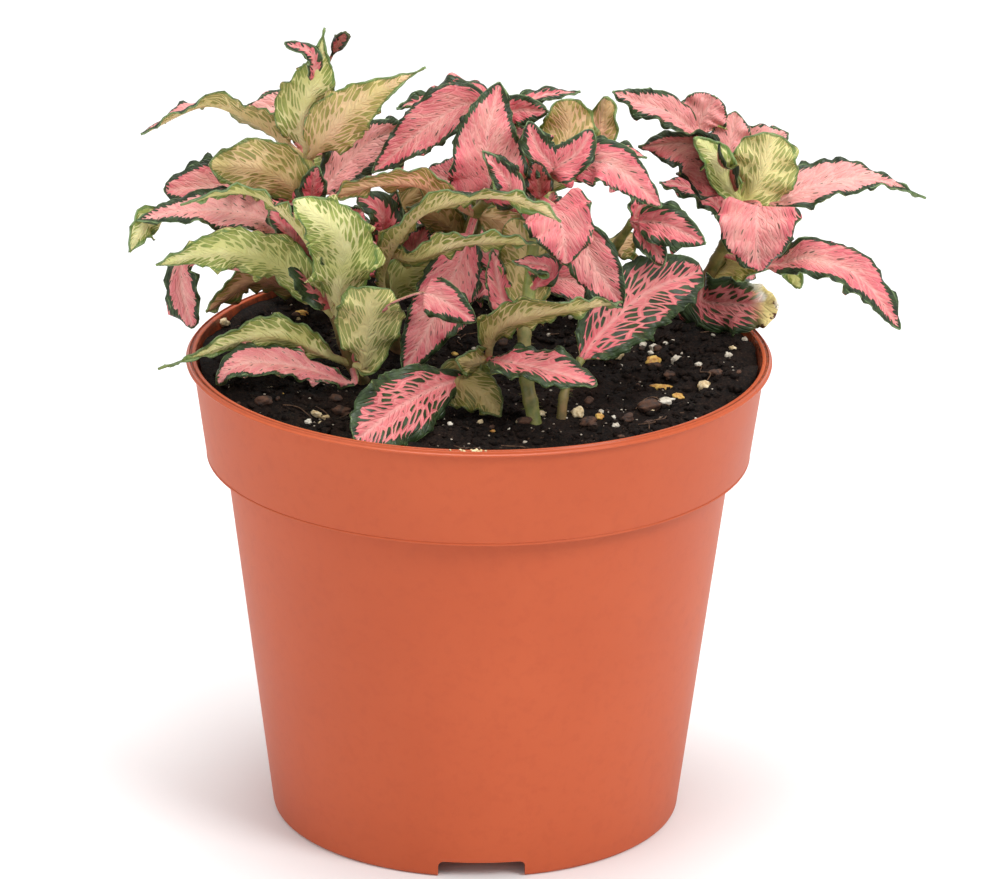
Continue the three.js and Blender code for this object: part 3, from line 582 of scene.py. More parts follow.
def plastic_material():
    n = Nodes("terracotta_plastic")
    broad = n.noise(18.0)
    fine = n.noise(420.0, 2.0)
    grain = n.noise(2600.0, 2.0)
    colour = n.mix(broad.ramp(), rgb(178, 80, 45), rgb(186, 87, 51))
    colour = n.mix(fine.ramp(0.45, 0.75, 0.0, 0.25), colour, rgb(166, 72, 42))

    # Soil dust, with painted shade, darkens the inside of the band and the rim's groove
    inside = n.attributes("inside")[0]
    dust_and_shade = inside * n.noise(500.0, 4.0, 0.7).ramp(0.35, 0.65, 0.25, 0.85)
    colour = n.mix(dust_and_shade, colour, rgb(74, 44, 32))

    # The lip is smoother than the rest
    height = n.add("ShaderNodeSeparateXYZ", "Z", {0: n.place})
    polish = height.ramp((POT_HEIGHT - 1.3) * MM, (POT_HEIGHT - 1) * MM) * LIP_POLISH
    dull = broad.ramp(0.2, 0.8, 0.44, 0.54) - polish
    normal = n.bump(grain, 0.08, 0.0002, n.bump(broad, 0.12, 0.0006))
    return n.surface(
        colour, dull, normal=normal, specular=0.25, subsurface=0.06, depths=(0.002, 0.0008, 0.0004))


def soil_material():
    n = Nodes("potting_soil")
    crumbs = n.noise(260.0, 5.0, 0.7)
    clods = n.noise(60.0, 4.0)
    flecks = n.noise(900.0, 2.0)
    grit = n.noise(1500.0, 3.0, 0.7)
    colour = n.mix(crumbs.ramp(0.35, 0.7), rgb(9, 6, 5), rgb(31, 21, 17))
    colour = n.mix(grit.ramp(0.45, 0.7, 0.0, 0.5), colour, rgb(58, 42, 32))
    colour = n.mix(clods.ramp(0.55, 0.75, 0.0, 0.4), colour, rgb(48, 32, 24))
    colour = n.mix(flecks.ramp(0.68, 0.76, 0.0, 0.55), colour, rgb(112, 88, 70))
    normal = n.bump(grit, 0.8, 0.0005, n.bump(crumbs, 0.9, 0.0012))
    return n.surface(colour, crumbs.ramp(0.3, 0.7, 0.7, 0.95), normal=normal, specular=0.15)


def grain_material(name, dark, light, roughness):
    n = Nodes(name)
    spots = n.noise(700.0, 4.0, 0.65)
    colour = n.mix(spots.ramp(0.35, 0.65), dark, light)
    dull = spots.ramp(0.3, 0.7, roughness, roughness + 0.15)
    return n.surface(colour, dull, normal=n.bump(spots, 0.6, 0.0004))


def stem_material():
    n = Nodes("stem_skin")
    patches = n.noise(90.0)
    streaks = n.noise(600.0)
    green = n.mix(streaks.ramp(), rgb(112, 128, 58), rgb(150, 152, 82))
    red = n.mix(streaks.ramp(), rgb(88, 48, 44), rgb(128, 78, 60))
    redness = n.attributes("redness")[0]
    colour = n.mix(n.math("ADD", redness, patches.ramp(0.3, 0.7, -0.25, 0.25), clamp=True), green, red)
    return n.surface(
        colour, streaks.ramp(0.3, 0.7, 0.45, 0.6), normal=n.bump(streaks, 0.35, 0.0003),
        subsurface=0.1, depths=(0.001, 0.001, 0.0005))


def leaf_material():
    """Veins run from the midrib forwards to the margin. Between them lie small cells: dark and merged at the
    margin, parted by a widening coloured net towards the midrib. The net is pink above and pale beneath."""
    n = Nodes("nerve_leaf")
    along, across, edge, scorch = n.attributes(*LEAF_PLACES)
    net, tan, pale, dim = n.attributes(*LEAF_LOOKS)
    seed, under = n.attributes("seed", "underside")

    # Places along and out from the midrib, slanted as the veins are
    from_rib = n.math("ABSOLUTE", across)
    forward = along - from_rib * VEIN_SLANT + n.noise(220.0, 2.0) * VEIN_WOBBLE
    shift = n.math("SIGN", across) * 3.7 + seed * 17.0
    size = n.most(net * 0.75, under * 0.35) + 1.0
    cells = n.vector(forward / CELL_WIDTH / size + shift, from_rib / CELL_LENGTH / size)
    to_vein = n.voronoi(cells, "DISTANCE_TO_EDGE", "Distance")
    to_middle = n.voronoi(cells, "F1", "Distance")
    chance = n.voronoi(cells, "F1", "Color")
    streaks = n.noise(0.5, 2.0, vector=n.vector(forward * 1.3 + shift, from_rib * 0.5))
    ragged = n.noise(1100.0)
    fleck = n.noise(500.0)
    wide = n.noise(120.0, 2.0)
    spread = (n.noise(42.0, 2.0) - 0.5) * 3.2
    rough_edge = (wide - 0.5) * 1.1 + (edge + spread)

    # Dark cells above: whole at the margin, smaller inwards, and left out past the reach of the leaf's net
    limit = rough_edge.ramp(net * 0.5 + 0.45, net * 2.6 + 1.25, -0.06, 0.5)
    limit = n.math("MINIMUM", limit, net.ramp(0.3, 1.0, 0.5, 0.11)) + from_rib.ramp(0.4, 1.8, 0.3, 0.0)
    shade = to_vein + (ragged - 0.5) * 0.12
    cell = (shade - limit).ramp(0.0, 0.05)
    dash = ((chance - 0.48) * 0.55 - to_middle).ramp(-0.03, 0.03, 0.0, 0.85)
    band = (edge + (ragged * 0.7 + spread * 0.35)).ramp(0.65, 0.95, 1.0, 0.0)
    dark = n.most(n.most(cell, dash), band)

    pink = n.mix(wide.ramp(), rgb(217, 120, 122), rgb(223, 152, 144))
    pink = n.mix(edge.ramp(0.8, 4.2, 0.75, 0.0), pink, rgb(210, 84, 102))
    pink = n.mix(fleck.ramp(0.35, 0.7, 0.0, 0.3), pink, rgb(212, 90, 104))
    pink = n.mix(streaks.ramp(0.4, 0.7, 0.0, 0.5), pink, rgb(236, 180, 167))
    # Deeper red towards the stalk: partly the leaf's own deeper base, partly painted shade under the leaves
    # above
    pink = n.mix(along.ramp(3.0, 16.0, 0.5, 0.0), pink, rgb(200, 68, 84))
    pink = n.mix(net.ramp(0.3, 1.0, 0.0, 0.5), pink, rgb(204, 78, 90))
    vein = n.most(to_vein.ramp(0.01, 0.09, 0.18, 0.0), from_rib.ramp(0.15, 0.7, 0.35, 0.0))
    pink = n.mix(vein, pink, rgb(240, 194, 181))
    # Paler leaves above: partly the leaf's own paler tone, partly painted light
    pink = n.mix(pale, pink, rgb(244, 196, 183))
    green = n.mix(fleck.ramp(), rgb(32, 44, 26), rgb(58, 76, 42))
    upper = n.mix(dark, pink, green)

    # Beneath: a pale net with green cells, a plain pale midrib and a green margin
    pale_net = n.mix(wide.ramp(), rgb(204, 204, 128), rgb(226, 220, 160))
    cell_green = n.mix(fleck.ramp(), rgb(126, 142, 66), rgb(160, 168, 90))
    inner = edge.ramp(0.6, 3.2, 0.0, 0.12) + from_rib.ramp(0.4, 1.7, 0.3, 0.0)
    lower_cell = (shade - inner).ramp(0.03, 0.09)
    tan_net = n.mix(wide.ramp(), rgb(214, 176, 126), rgb(224, 160, 134))
    tan_cell = n.mix(fleck.ramp(), rgb(146, 126, 62), rgb(180, 150, 90))
    lower = n.mix(tan, n.mix(lower_cell, pale_net, cell_green), n.mix(lower_cell, tan_net, tan_cell))
    # Paler leaves beneath: partly the leaf's own paler tone, partly painted light
    lower = n.mix(pale * lower_cell.ramp(0.0, 1.0, 0.75, 0.2), lower, rgb(252, 236, 166))
    lower = n.mix(band * 0.8, lower, rgb(84, 116, 50))

    # Both faces: a pale rim, the scorched tip, and painted shade for leaves in the shade of the leaves above
    colour = n.mix(under, upper, lower)
    colour = n.mix(edge.ramp(0.04, 0.24, 0.55, 0.0), colour, rgb(146, 172, 118))
    burnt = n.mix(wide.ramp(0.5, 0.56), rgb(222, 202, 134), rgb(248, 240, 222))
    burnt = n.mix(fleck.ramp(0.56, 0.64), burnt, rgb(84, 46, 26))
    colour = n.mix(scorch, colour, burnt)
    # Painted shade: each leaf's given amount turns its colour towards a darker red-brown
    shaded = n.mix(1.0, colour, rgb(159, 131, 101), "MULTIPLY")
    colour = n.mix(n.math("MULTIPLY", dim, 1.6, clamp=True), colour, shaded)
    normal = n.bump(ragged, 0.25, 0.0002, n.bump(to_vein.ramp(0.0, 0.22), 0.5, 0.0003))
    return n.surface(
        colour, dark.ramp(0.0, 1.0, 0.52, 0.4), normal=normal, specular=0.35, subsurface=0.12,
        depths=(0.0012, 0.0007, 0.0005))


# Leaves and stems

def sight(across, up):
    """From the eye to a place in the picture plane."""
    return LOOK_AT + PICTURE_RIGHT * across + PICTURE_UP * up - EYE


def seen(point):
    """The place in space of a point given across and up the picture plane and back from the pot's axis."""
    across, up, back = point
    ray = sight(across, up)
    return EYE + ray * ((back - EYE[1]) / ray[1])


def smooth_path(points, count):
    """Points at even spacing on a smooth curve through the given ones."""
    points = np.array(points)
    steps = np.linalg.norm(np.diff(points, axis=0), axis=1)
    starts = np.concatenate([[0], np.cumsum(steps)])
    guide = np.vstack([2 * points[0] - points[1], points, 2 * points[-1] - points[-2]])
    path = []
    for along in np.linspace(0, starts[-1], count):
        k = min(int(np.searchsorted(starts, along, side="right")) - 1, len(steps) - 1)
        t = (along - starts[k]) / steps[k]
        cube = t ** 3
        weights = np.array([
            -t + 2 * t * t - cube, 2 - 5 * t * t + 3 * cube, t + 4 * t * t - 3 * cube, -t * t + cube])
        path.append(weights @ guide[k:k + 4] / 2)
    return np.array(path)


def unit(vectors):
    return vectors / np.linalg.norm(vectors, axis=-1, keepdims=True)


def directions(path):
    return unit(np.gradient(path, axis=0))


def half_widths(plan, along, u):
    peak, taper = FORMS[plan["form"]]
    rise = taper * peak / (1 - peak)
    blade = plan["width"] / 2 * (u / peak) ** rise * ((1 - u) / (1 - peak)) ** taper
    least = np.where(along < 0.5, STALK_HALF, TIP_HALF)
    return np.maximum(blade, least)


def leaf_axes(path, plan, along):
    """Directions at each step of a leaf: out to its side, and up from its upper face."""
    direction = directions(path)
    to_eye = EYE - path
    to_eye = unit(to_eye - (to_eye * direction).sum(1)[:, None] * direction)
    side = np.cross(direction, to_eye)
    turn = np.radians(plan["face"] + plan["twist"] * along * along * (3 - 2 * along))[:, None]
    return side * np.cos(turn) - to_eye * np.sin(turn), to_eye * np.cos(turn) + side * np.sin(turn)


def leaf_line(plan, part, number, seed, along_mm, u, half, blade):
    """One lengthwise line of a leaf, at a part of its half width: how far out and how high it lies."""
    hand = 0 if part < 0 else SIDE_PHASE
    share = abs(part)

    def uneven(per_mm, spacing, layer):
        return np.array([noise.noise(Vector((s * per_mm, seed * spacing + hand, layer))) for s in along_mm])

    wave = RUFFLE * share ** 1.5 * np.sin(2 * pi * RUFFLE_WAVES * u + number * LEAF_PHASE + hand)
    teeth = TEETH * uneven(TEETH_PER_MM, 3.1, 0) * share ** 3 * blade
    frill = FRILL * uneven(FRILL_PER_MM, 5.3, 4) * share ** 3 * blade
    spikes = np.maximum(0, uneven(SPIKES_PER_MM, 7.7, 9) - SPIKE_FLOOR)
    spikes = spikes * np.minimum(1, half / FULL_SPIKE_HALF)
    reach = half * (1 + teeth) + SPIKE * spikes * share ** 6 * blade
    lift = half * (share * sin(radians(plan["fold"])) + wave) + frill
    ripple = np.cos(2 * pi * (along_mm - VEIN_SLANT * np.abs(half * part)) / RIPPLE_PITCH + seed)
    lift = lift + RIPPLE * ripple * blade * share ** 0.5 * (1 - share ** 3)
    return reach * part, lift - CURL * share ** 6 * blade


def leaf_arrays(stem_points, plan, number, seed):
    """One leaf: its points and faces, and the values that its material reads."""
    path = smooth_path([stem_points[plan["at"]]] + [seen(p) for p in plan["path"]], LEAF_STEPS + 1)
    length = np.linalg.norm(np.diff(path, axis=0), axis=1).sum()
    along = np.linspace(0, 1, LEAF_STEPS + 1)
    u = np.clip((along - plan["stalk"]) / (1 - plan["stalk"]), 0, 1)
    out, up = leaf_axes(path, plan, along)
    across = np.linspace(-1, 1, LEAF_STRIPS + 1)
    across = np.sign(across) * np.abs(across) ** LINE_CROWDING

    along_mm = along * length
    blade = step_between(0.0, BLADE_START, u) * step_between(0.0, BLADE_END, 1 - u)
    half = half_widths(plan, along, u)
    middle = np.zeros((len(along), len(across), 3))
    width = np.zeros((len(along), len(across)))
    for j, part in enumerate(across):
        width[:, j], lift = leaf_line(plan, part, number, seed, along_mm, u, half, blade)
        flat = width[:, j] * cos(radians(plan["fold"]))
        middle[:, j] = path + out * flat[:, None] + up * lift[:, None]

    normal = unit(np.cross(np.gradient(middle, axis=1), np.gradient(middle, axis=0)))
    stalky = (1 - step_between(0.0, STALK_FADE, u))[:, None]
    inner = 1 - np.abs(across)[None, :] ** 2
    thick = EDGE_HALF + MIDDLE_SWELL * inner + STALK_SWELL * stalky * inner
    ridge = RIDGE * np.exp(-(width / RIDGE_WIDTH) ** 2) * (1 - along[:, None]) * blade[:, None]
    groove = GROOVE * np.exp(-(width / GROOVE_WIDTH) ** 2) * blade[:, None]
    upper = middle + normal * (thick - groove)[..., None]
    lower = middle - normal * (thick + ridge)[..., None]

    to_tip = ((1 - u) * length * TIP_EDGE_RATE)[:, None] + LEAST_EDGE
    edge = np.minimum(np.abs(half[:, None] - np.abs(width)), to_tip)
    burnt = step_between(1 - SCORCHED_SHARE, 1.0, along)[:, None] * plan["scorch"]
    values = {key: plan[key] for key in LEAF_LOOKS}
    values.update(
        along_mm=along_mm[:, None], across_mm=width, edge_mm=np.where(stalky > 0.5, STALK_EDGE, edge),
        scorch=np.clip(burnt * SCORCH_GAIN, 0, 1), underside=np.array([0, 1])[:, None, None],
        seed=seed % SEED_CYCLE, redness=0)
    spread = {key: np.broadcast_to(value, (2, *width.shape)).ravel() for key, value in values.items()}
    return closed_blade(upper, lower), spread


def closed_blade(upper, lower):
    """The points and faces of a leaf: its two faces, joined round the edge."""
    rows, columns, _ = upper.shape
    below = rows * columns
    faces = grid_faces(rows, columns, 0, False) + grid_faces(rows, columns, below, True)
    border = border_loop(rows, columns)
    for a, b in zip(border, border[1:] + border[:1]):
        faces.append((b, a, below + a, below + b))
    return [*upper.reshape(-1, 3), *lower.reshape(-1, 3)], faces


def grid_faces(rows, columns, start, flip):
    faces = []
    for i in range(rows - 1):
        for j in range(columns - 1):
            a = start + i * columns + j
            quad = (a, a + 1, a + 1 + columns, a + columns)
            faces.append(quad[::-1] if flip else quad)
    return faces


def border_loop(rows, columns):
    """The places of a grid's outermost points, in their order round it."""
    top = list(range(columns))
    right = [i * columns + columns - 1 for i in range(1, rows)]
    bottom = [(rows - 1) * columns + j for j in range(columns - 2, -1, -1)]
    left = [i * columns for i in range(rows - 2, 0, -1)]
    return top + right + bottom + left


def on_circle(radius, step, sides, height):
    angle = 2 * pi * step / sides
    return radius * cos(angle), radius * sin(angle), height


def circle(radius, height, sides):
    return [on_circle(radius, j, sides, height) for j in range(sides)]


def ring_faces(rings, sides, start=0):
    """Faces between rings of points that follow each other."""
    faces = []
    for i in range(rings - 1):
        for j in range(sides):
            a = start + i * sides + j
            b = start + i * sides + (j + 1) % sides
            faces.append((a, b, b + sides, a + sides))
    return faces


def capped_faces(rings, sides):
    """Faces between rings of points, and over the first and the last ring."""
    last = (rings - 1) * sides
    return ring_faces(rings, sides) + [tuple(range(sides))[::-1], tuple(range(last, last + sides))]


def tube_arrays(points, radius_at, sides, count):
    path = smooth_path(points, count)
    direction = directions(path)
    right = unit(np.cross(direction, [0, 1, 0]))
    front = np.cross(direction, right)
    rows = []
    for i, point in enumerate(path):
        radius = radius_at(i / (count - 1))
        for j in range(sides):
            angle = 2 * pi * j / sides
            rows.append(point + right[i] * radius * cos(angle) + front[i] * radius * sin(angle))
    return rows, capped_faces(count, sides)


def hair_arrays(path, radius_at, count):
    """Short fine hairs that stand out from a stem."""
    direction = directions(path)
    vertices = []
    faces = []
    for _ in range(count):
        along = rng.random() ** HAIR_CROWDING
        place = min(int(along * (len(path) - 1)), len(path) - 2)
        outward = unit(np.cross(direction[place], [rng.gauss(0, 1), rng.gauss(0, 1), rng.gauss(0, 1)]))
        across = np.cross(direction[place], outward)
        foot = path[place] + outward * radius_at(place / (len(path) - 1)) * HAIR_ROOT
        lean = outward + HAIR_LEAN * direction[place] * rng.uniform(-1, 1)
        tip = foot + lean * rng.uniform(*HAIR_LENGTHS)
        start = len(vertices)
        for turn in (0, 1, 2):
            angle = 2 * pi * turn / 3
            corner = across * cos(angle) + direction[place] * sin(angle)
            vertices.append(foot + HAIR_RADIUS * corner)
            faces.append((start + turn, start + (turn + 1) % 3, start + 3))
        vertices.append(tip)
    return vertices, faces


def joined(parts):
    """The points and faces of several parts as those of one."""
    vertices = []
    faces = []
    for points, own in parts:
        start = len(vertices)
        vertices.extend(points)
        faces.extend(tuple(i + start for i in face) for face in own)
    return vertices, faces


def make_leafy_stem(name, plan, skins, first_seed):
    """A stem with all its leaves, in place of the node of the same name."""
    points = [seen(p) for p in plan["points"]]
    route = [points[0] - np.array([0, 0, ROOT_DEPTH])] + points
    joints = len(points)

    def radius_at(along):
        swelling = NODE_SWELLING * cos(2 * pi * along * joints) ** NODE_SHARPNESS
        return plan["radius"] * (1 - STEM_THINNING * along) * (SLIM_SHARE + swelling)

    steps = STEM_STEPS * (joints + 1)
    tube = tube_arrays(route, radius_at, STEM_SIDES, steps)
    hairs = hair_arrays(smooth_path(route, steps), radius_at, HAIRS_PER_JOINT * joints)
    parts = [tube, hairs]
    stem_vertices, stem_faces = joined(parts)
    values = {key: [0] * len(stem_vertices) for key in LEAF_VALUES}
    redness = plan["redness"] * np.linspace(1, TOP_REDNESS, steps)
    values["redness"] = [*np.repeat(redness, STEM_SIDES)] + [HAIR_REDNESS] * len(hairs[0])
    for number, item in enumerate(plan["leaves"]):
        blade, own = leaf_arrays(points, item, number, first_seed + number)
        parts.append(blade)
        for key in LEAF_VALUES:
            values[key] += list(own[key])
    piece = new_piece(name + "_leafy", *joined(parts), "leaf", skins, name)
    for key in LEAF_VALUES:
        put_attribute(piece, key, values[key])
    for polygon in piece.data.polygons[:len(stem_faces)]:
        polygon.material_index = 1
    return piece


# Pot

def rounded_profile(corners, pieces=5):
    """A lathe profile: each corner is (radius, height, rounding), and a rounding above 0 becomes an arc."""
    points = []
    for i, (radius, height, rounding) in enumerate(corners):
        here = Vector((radius, height))
        if rounding == 0:
            points.append(here)
            continue
        before = Vector(corners[i - 1][:2])
        after = Vector(corners[i + 1][:2])
        start = here + (before - here).normalized() * rounding
        end = here + (after - here).normalized() * rounding
        for k in range(pieces + 1):
            t = k / pieces
            points.append(start * (1 - t) ** 2 + here * 2 * t * (1 - t) + end * t ** 2)
    return points


def corners_from(radius, height, corners):
    return [(radius - inward, height - down, rounding) for inward, down, rounding in corners]


def pot_profile():
    """The outline from the middle of the underside, up the outside, over the rim and down the inside."""
    channel_outer = FOOT_RADIUS - FOOT_RING
    floor = CHANNEL_HEIGHT + WALL
    return rounded_profile([
        (0, 0, 0), (MIDDLE_RADIUS, 0, 0.4), (MIDDLE_RADIUS + 1, CHANNEL_HEIGHT, 0.4),
        (channel_outer, CHANNEL_HEIGHT, 0.4), (channel_outer + 0.5, 0, 0.3), (FOOT_RADIUS, 0, 1.1),
        (WALL_TOP_RADIUS, BAND_FOOT_HEIGHT + 0.5, 0.3),
        *corners_from(BAND_FOOT_RADIUS, BAND_FOOT_HEIGHT, BAND_FOOT_CORNERS),
        (BAND_TOP_RADIUS, POT_HEIGHT - LIP_THICKNESS - 0.1, 0.15),
        *corners_from(LIP_RADIUS, POT_HEIGHT, RIM_CORNERS),
        (BAND_TOP_RADIUS - WALL, POT_HEIGHT - 2.5, 0.5),
        (BAND_FOOT_RADIUS - WALL, BAND_FOOT_HEIGHT + WALL, 0.6),
        (WALL_TOP_RADIUS - WALL, BAND_FOOT_HEIGHT - WALL, 0.6), (channel_outer + 0.6, floor, 0.5),
        (MIDDLE_RADIUS, floor, 0.4), (MIDDLE_RADIUS - 1.2, WALL, 0.4), (0, WALL, 0),
    ])


def lathe(profile, sides):
    vertices = [(0, 0, profile[0].y), (0, 0, profile[-1].y)]
    rings = profile[1:-1]
    for point in rings:
        vertices += circle(point.x, point.y, sides)
    faces = ring_faces(len(rings), sides, 2)
    last = 2 + (len(rings) - 1) * sides
    for j in range(sides):
        following = (j + 1) % sides
        faces.append((0, 2 + following, 2 + j))
        faces.append((1, last + j, last + following))
    return vertices, faces


def notch_cutter(angle):
    """A block as wide as the notch, with its upper edges rounded."""
    half = NOTCH_WIDTH / 2
    outline = [(-half, -1), (half, -1)]
    for quarter, centre in ((0, half - NOTCH_ROUND), (1, NOTCH_ROUND - half)):
        for k in range(ARC_STEPS + 1):
            turn = pi / 2 * (quarter + k / ARC_STEPS)
            height = NOTCH_HEIGHT - NOTCH_ROUND + NOTCH_ROUND * sin(turn)
            outline.append((centre + NOTCH_ROUND * cos(turn), height))
    count = len(outline)
    ends = [(x, y - FOOT_RADIUS, z) for y in (-NOTCH_OUTSIDE, NOTCH_INSIDE) for x, z in outline]
    turned = [Matrix.Rotation(angle, 3, "Z") @ Vector(point) for point in ends]
    return turned, [face[::-1] for face in capped_faces(2, count)]


def hole_cutter(angle):
    """A round rod that goes through the floor of the channel."""
    middle_x = DRAIN_CIRCLE * sin(angle)
    middle_y = -DRAIN_CIRCLE * cos(angle)
    vertices = []
    for height in (CHANNEL_HEIGHT - 2 * WALL, CHANNEL_HEIGHT + 3 * WALL):
        ring = circle(DRAIN_RADIUS, height, DRAIN_SIDES)
        vertices += [(middle_x + x, middle_y + y, z) for x, y, z in ring]
    return vertices, capped_faces(2, DRAIN_SIDES)


def cut(piece, vertices, faces):
    mesh = new_mesh("cutter", vertices, faces)
    cutter = new_object("cutter", mesh)
    modifier = piece.modifiers.new("cut", "BOOLEAN")
    modifier.operation = "DIFFERENCE"
    modifier.solver = "MANIFOLD"
    modifier.object = cutter
    depsgraph = bpy.context.evaluated_depsgraph_get()
    result = bpy.data.meshes.new_from_object(piece.evaluated_get(depsgraph))
    piece.modifiers.clear()
    piece.data = result
    bpy.data.objects.remove(cutter)
    bpy.data.meshes.remove(mesh)


def gets_dust_and_shade(point):
    """Whether a point lies inside the band or in the rim's groove, where soil dust and painted shade darken
    the plastic.
    """
    radius = hypot(point.x, point.y)
    outer = BAND_FOOT_RADIUS + BAND_SLOPE * (point.z - BAND_FOOT_HEIGHT)
    in_band = point.z > BAND_FOOT_HEIGHT + WALL / 2 and radius < outer - WALL / 2
    in_groove = abs(radius - RIM_GROOVE_RADIUS) < RIM_GROOVE_HALF
    return in_band or in_groove and point.z > POT_HEIGHT - RIM_GROOVE_DEPTH


def make_pot():
    piece = new_piece("nursery_pot", *lathe(pot_profile(), POT_SIDES), "pot_plastic", node="pot")
    for i in range(NOTCHES):
        cut(piece, *notch_cutter(2 * pi * i / NOTCHES + NOTCH_TURN))
    for i in range(DRAIN_HOLES):
        cut(piece, *hole_cutter(2 * pi * (i + 0.5) / DRAIN_HOLES))
    smooth(piece)
    piece.data.set_sharp_from_angle(angle=SHARP_ANGLE)
    put_attribute(piece, "inside", [gets_dust_and_shade(vertex.co / MM) for vertex in piece.data.vertices])
    piece.data.materials.clear()
    piece.data.materials.append(plastic_material())


# Soil

def soil_height(x, y):
    """Lumps all over, and a bank against the wall that fades out toward the front."""
    lumps = sin(LUMP_WAVE * x + 1) * cos(LUMP_WAVE * y)
    ripples = sin(RIPPLE_WAVE * (x - y) + 2)
    bank = step_between(BANK_INNER, BANK_OUTER, hypot(x, y)) * step_between(BANK_FRONT, BANK_BACK, y)
    return SOIL_TOP + SOIL_LUMP * (lumps + RIPPLE_SHARE * ripples) + BANK_HEIGHT * bank


def soil_surface(x, y):
    """The lumps of the solid, with clods and crumbs on them."""
    clods = noise.fractal(Vector((x, y, 0)) * CLODS_PER_MM, 1.0, 2.2, 5)
    crumbs = noise.noise(Vector((x, y, 7)) * CRUMBS_PER_MM)
    back = step_between(BANK_FRONT, BANK_BACK, y)
    height = soil_height(x, y) + CLOD_HEIGHT * clods + CRUMB_HEIGHT * crumbs + BACK_RISE * back
    return min(height, SOIL_LIMIT)


def make_soil(material):
    floor = CHANNEL_HEIGHT + WALL + GAP
    side_rings = [
        (MIDDLE_RADIUS - 2, WALL + GAP), (MIDDLE_RADIUS - 1, floor), (FOOT_RADIUS - FOOT_RING - GAP, floor),
        (WALL_TOP_RADIUS - WALL - 2 * GAP, BAND_FOOT_HEIGHT - WALL),
        (BAND_FOOT_RADIUS - WALL - 3 * GAP, BAND_FOOT_HEIGHT + WALL + GAP),
    ]
    vertices = []
    for radius, height in side_rings:
        vertices += circle(radius, height, SOIL_SIDES)
    for i in range(SOIL_RINGS, 0, -1):
        for j in range(SOIL_SIDES):
            radius = SOIL_RADIUS * i / SOIL_RINGS
            x, y, _ = on_circle(radius, j, SOIL_SIDES, 0)
            height = soil_surface(x, y)
            if i == SOIL_RINGS:
                radius += WALL_SLOPE * (height - SOIL_TOP)
            vertices.append(on_circle(radius, j, SOIL_SIDES, height))
    faces = capped_faces(len(vertices) // SOIL_SIDES, SOIL_SIDES)
    new_piece("potting_mix", vertices, faces, "soil", [material], "soil")


def lump(centre, size, stretch, turn, roughness, detail):
    """A rough grain: an uneven ball, stretched and turned."""
    ball = bmesh.new()
    bmesh.ops.create_icosphere(ball, subdivisions=detail, radius=1.0)
    offset = Vector((rng.uniform(0, 50), rng.uniform(0, 50), rng.uniform(0, 50)))
    spin = Matrix.Rotation(turn, 3, "Z") @ Matrix.Rotation(rng.uniform(-0.5, 0.5), 3, "X")
    points = []
    for vertex in ball.verts:
        bulge = 1 + roughness * noise.noise(vertex.co * LUMP_BULGES + offset)
        point = vertex.co * bulge * size / 2
        points.append(centre + spin @ Vector((point.x * stretch, point.y, point.z * LUMP_FLATNESS)))
    faces = [tuple(v.index for v in face.verts) for face in ball.faces]
    ball.free()
    return points, faces


def gather(name, parts, material):
    """Many small things in one piece."""
    new_piece(name, *joined(parts), "soil", [material])


def on_soil(across, up):
    """The point of the soil that is seen at a place in the picture."""
    ray = sight(across, up)
    height = SOIL_TOP
    for _ in range(6):
        point = EYE + ray * ((height - EYE[2]) / ray[2])
        height = (height + soil_height(point[0], point[1])) / 2
    return Vector((point[0], point[1], soil_surface(point[0], point[1])))


def scattered():
    """A random point of the soil."""
    radius = SCATTER_RADIUS * sqrt(rng.random())
    angle = rng.uniform(0, 2 * pi)
    x = radius * cos(angle)
    y = radius * sin(angle)
    return Vector((x, y, soil_surface(x, y)))


def raised(point, height):
    return point + Vector((0, 0, height))


# The grains that stand out, by their kind: across, up, size, and for some stretch and turn in degrees
GRAINS = {
    "white": [
        (35.4, -20, 1.9, 1.5, 80), (40, -22.5, 2.3, 1.2, 60), (44.5, -23.8, 1.5), (50.5, -21.4, 1.6, 1, 20),
        (53.8, -18.3, 1.2), (37.9, -30.8, 2.2, 1.4, 20), (24.6, -32.6, 1.1), (27.3, -33.4, 1.2),
        (27.5, -35.4, 1.3, 1.2, 30), (30.6, -19.4, 1.1), (33.2, -19.2, 1.4, 1.3, 90), (-35, -34.6, 1.4),
        (-53.8, -20.8, 1.3), (44, -34, 1), (-46, -34, 1), (6, -36, 1),
    ],
    "cream": [
        (27.5, -22, 2.4, 1.3, 10), (45.6, -27.5, 2.6, 1.3, 60), (19.8, -33, 2.5, 1.3, 110),
        (-52.1, -14.7, 2.2), (-33.4, -32.8, 1.8, 1.5, 120), (-31.6, -33.4, 1.5, 1.4, 20),
        (12, -33.2, 1.8, 1.6), (34.8, -33, 1.2),
    ],
    "yellow": [
        (35.2, -22.6, 2.3, 1.4, 25), (37, -28, 2.3, 2.1, -20), (40.3, -29.6, 1.7, 1.5, -30),
        (-36.4, -13, 1.7, 1.9), (24.2, -33.6, 1.6, 1.5, 100),
    ],
    "bark": [
        (34.4, -32.2, 3.2, 1.5, 20), (30, -34, 2.4, 1.3, 60), (-28.3, -32.4, 2.6, 1.6, -30),
        (22, -34.6, 2.4, 1.6, 40), (38.5, -25.5, 2, 1.8, 70), (-44, -30.6, 2.4, 1.5),
        (9, -34.8, 2.2, 1.4, 30), (48, -25, 1.8, 1.6),
    ],
}
GRAIN_COLOURS = {
    "white": (rgb(176, 164, 146), rgb(224, 216, 200), 0.7),
    "cream": (rgb(190, 162, 116), rgb(232, 214, 176), 0.6),
    "yellow": (rgb(176, 116, 46), rgb(226, 186, 96), 0.45),
    "bark": (rgb(44, 28, 20), rgb(92, 60, 42), 0.7),
}


def marked_grain(across, up, size, stretch=1, turn=0):
    centre = raised(on_soil(across, up), 0.2 * size)
    return lump(centre, size, stretch, radians(turn), roughness=0.5, detail=3)


def loose_grain(scale):
    size = rng.uniform(0.5, 1.3) * scale
    centre = raised(scattered(), 0.15 * size)
    return lump(centre, size, rng.uniform(1, 1.8), rng.uniform(*ANY_TURN), roughness=0.5, detail=2)


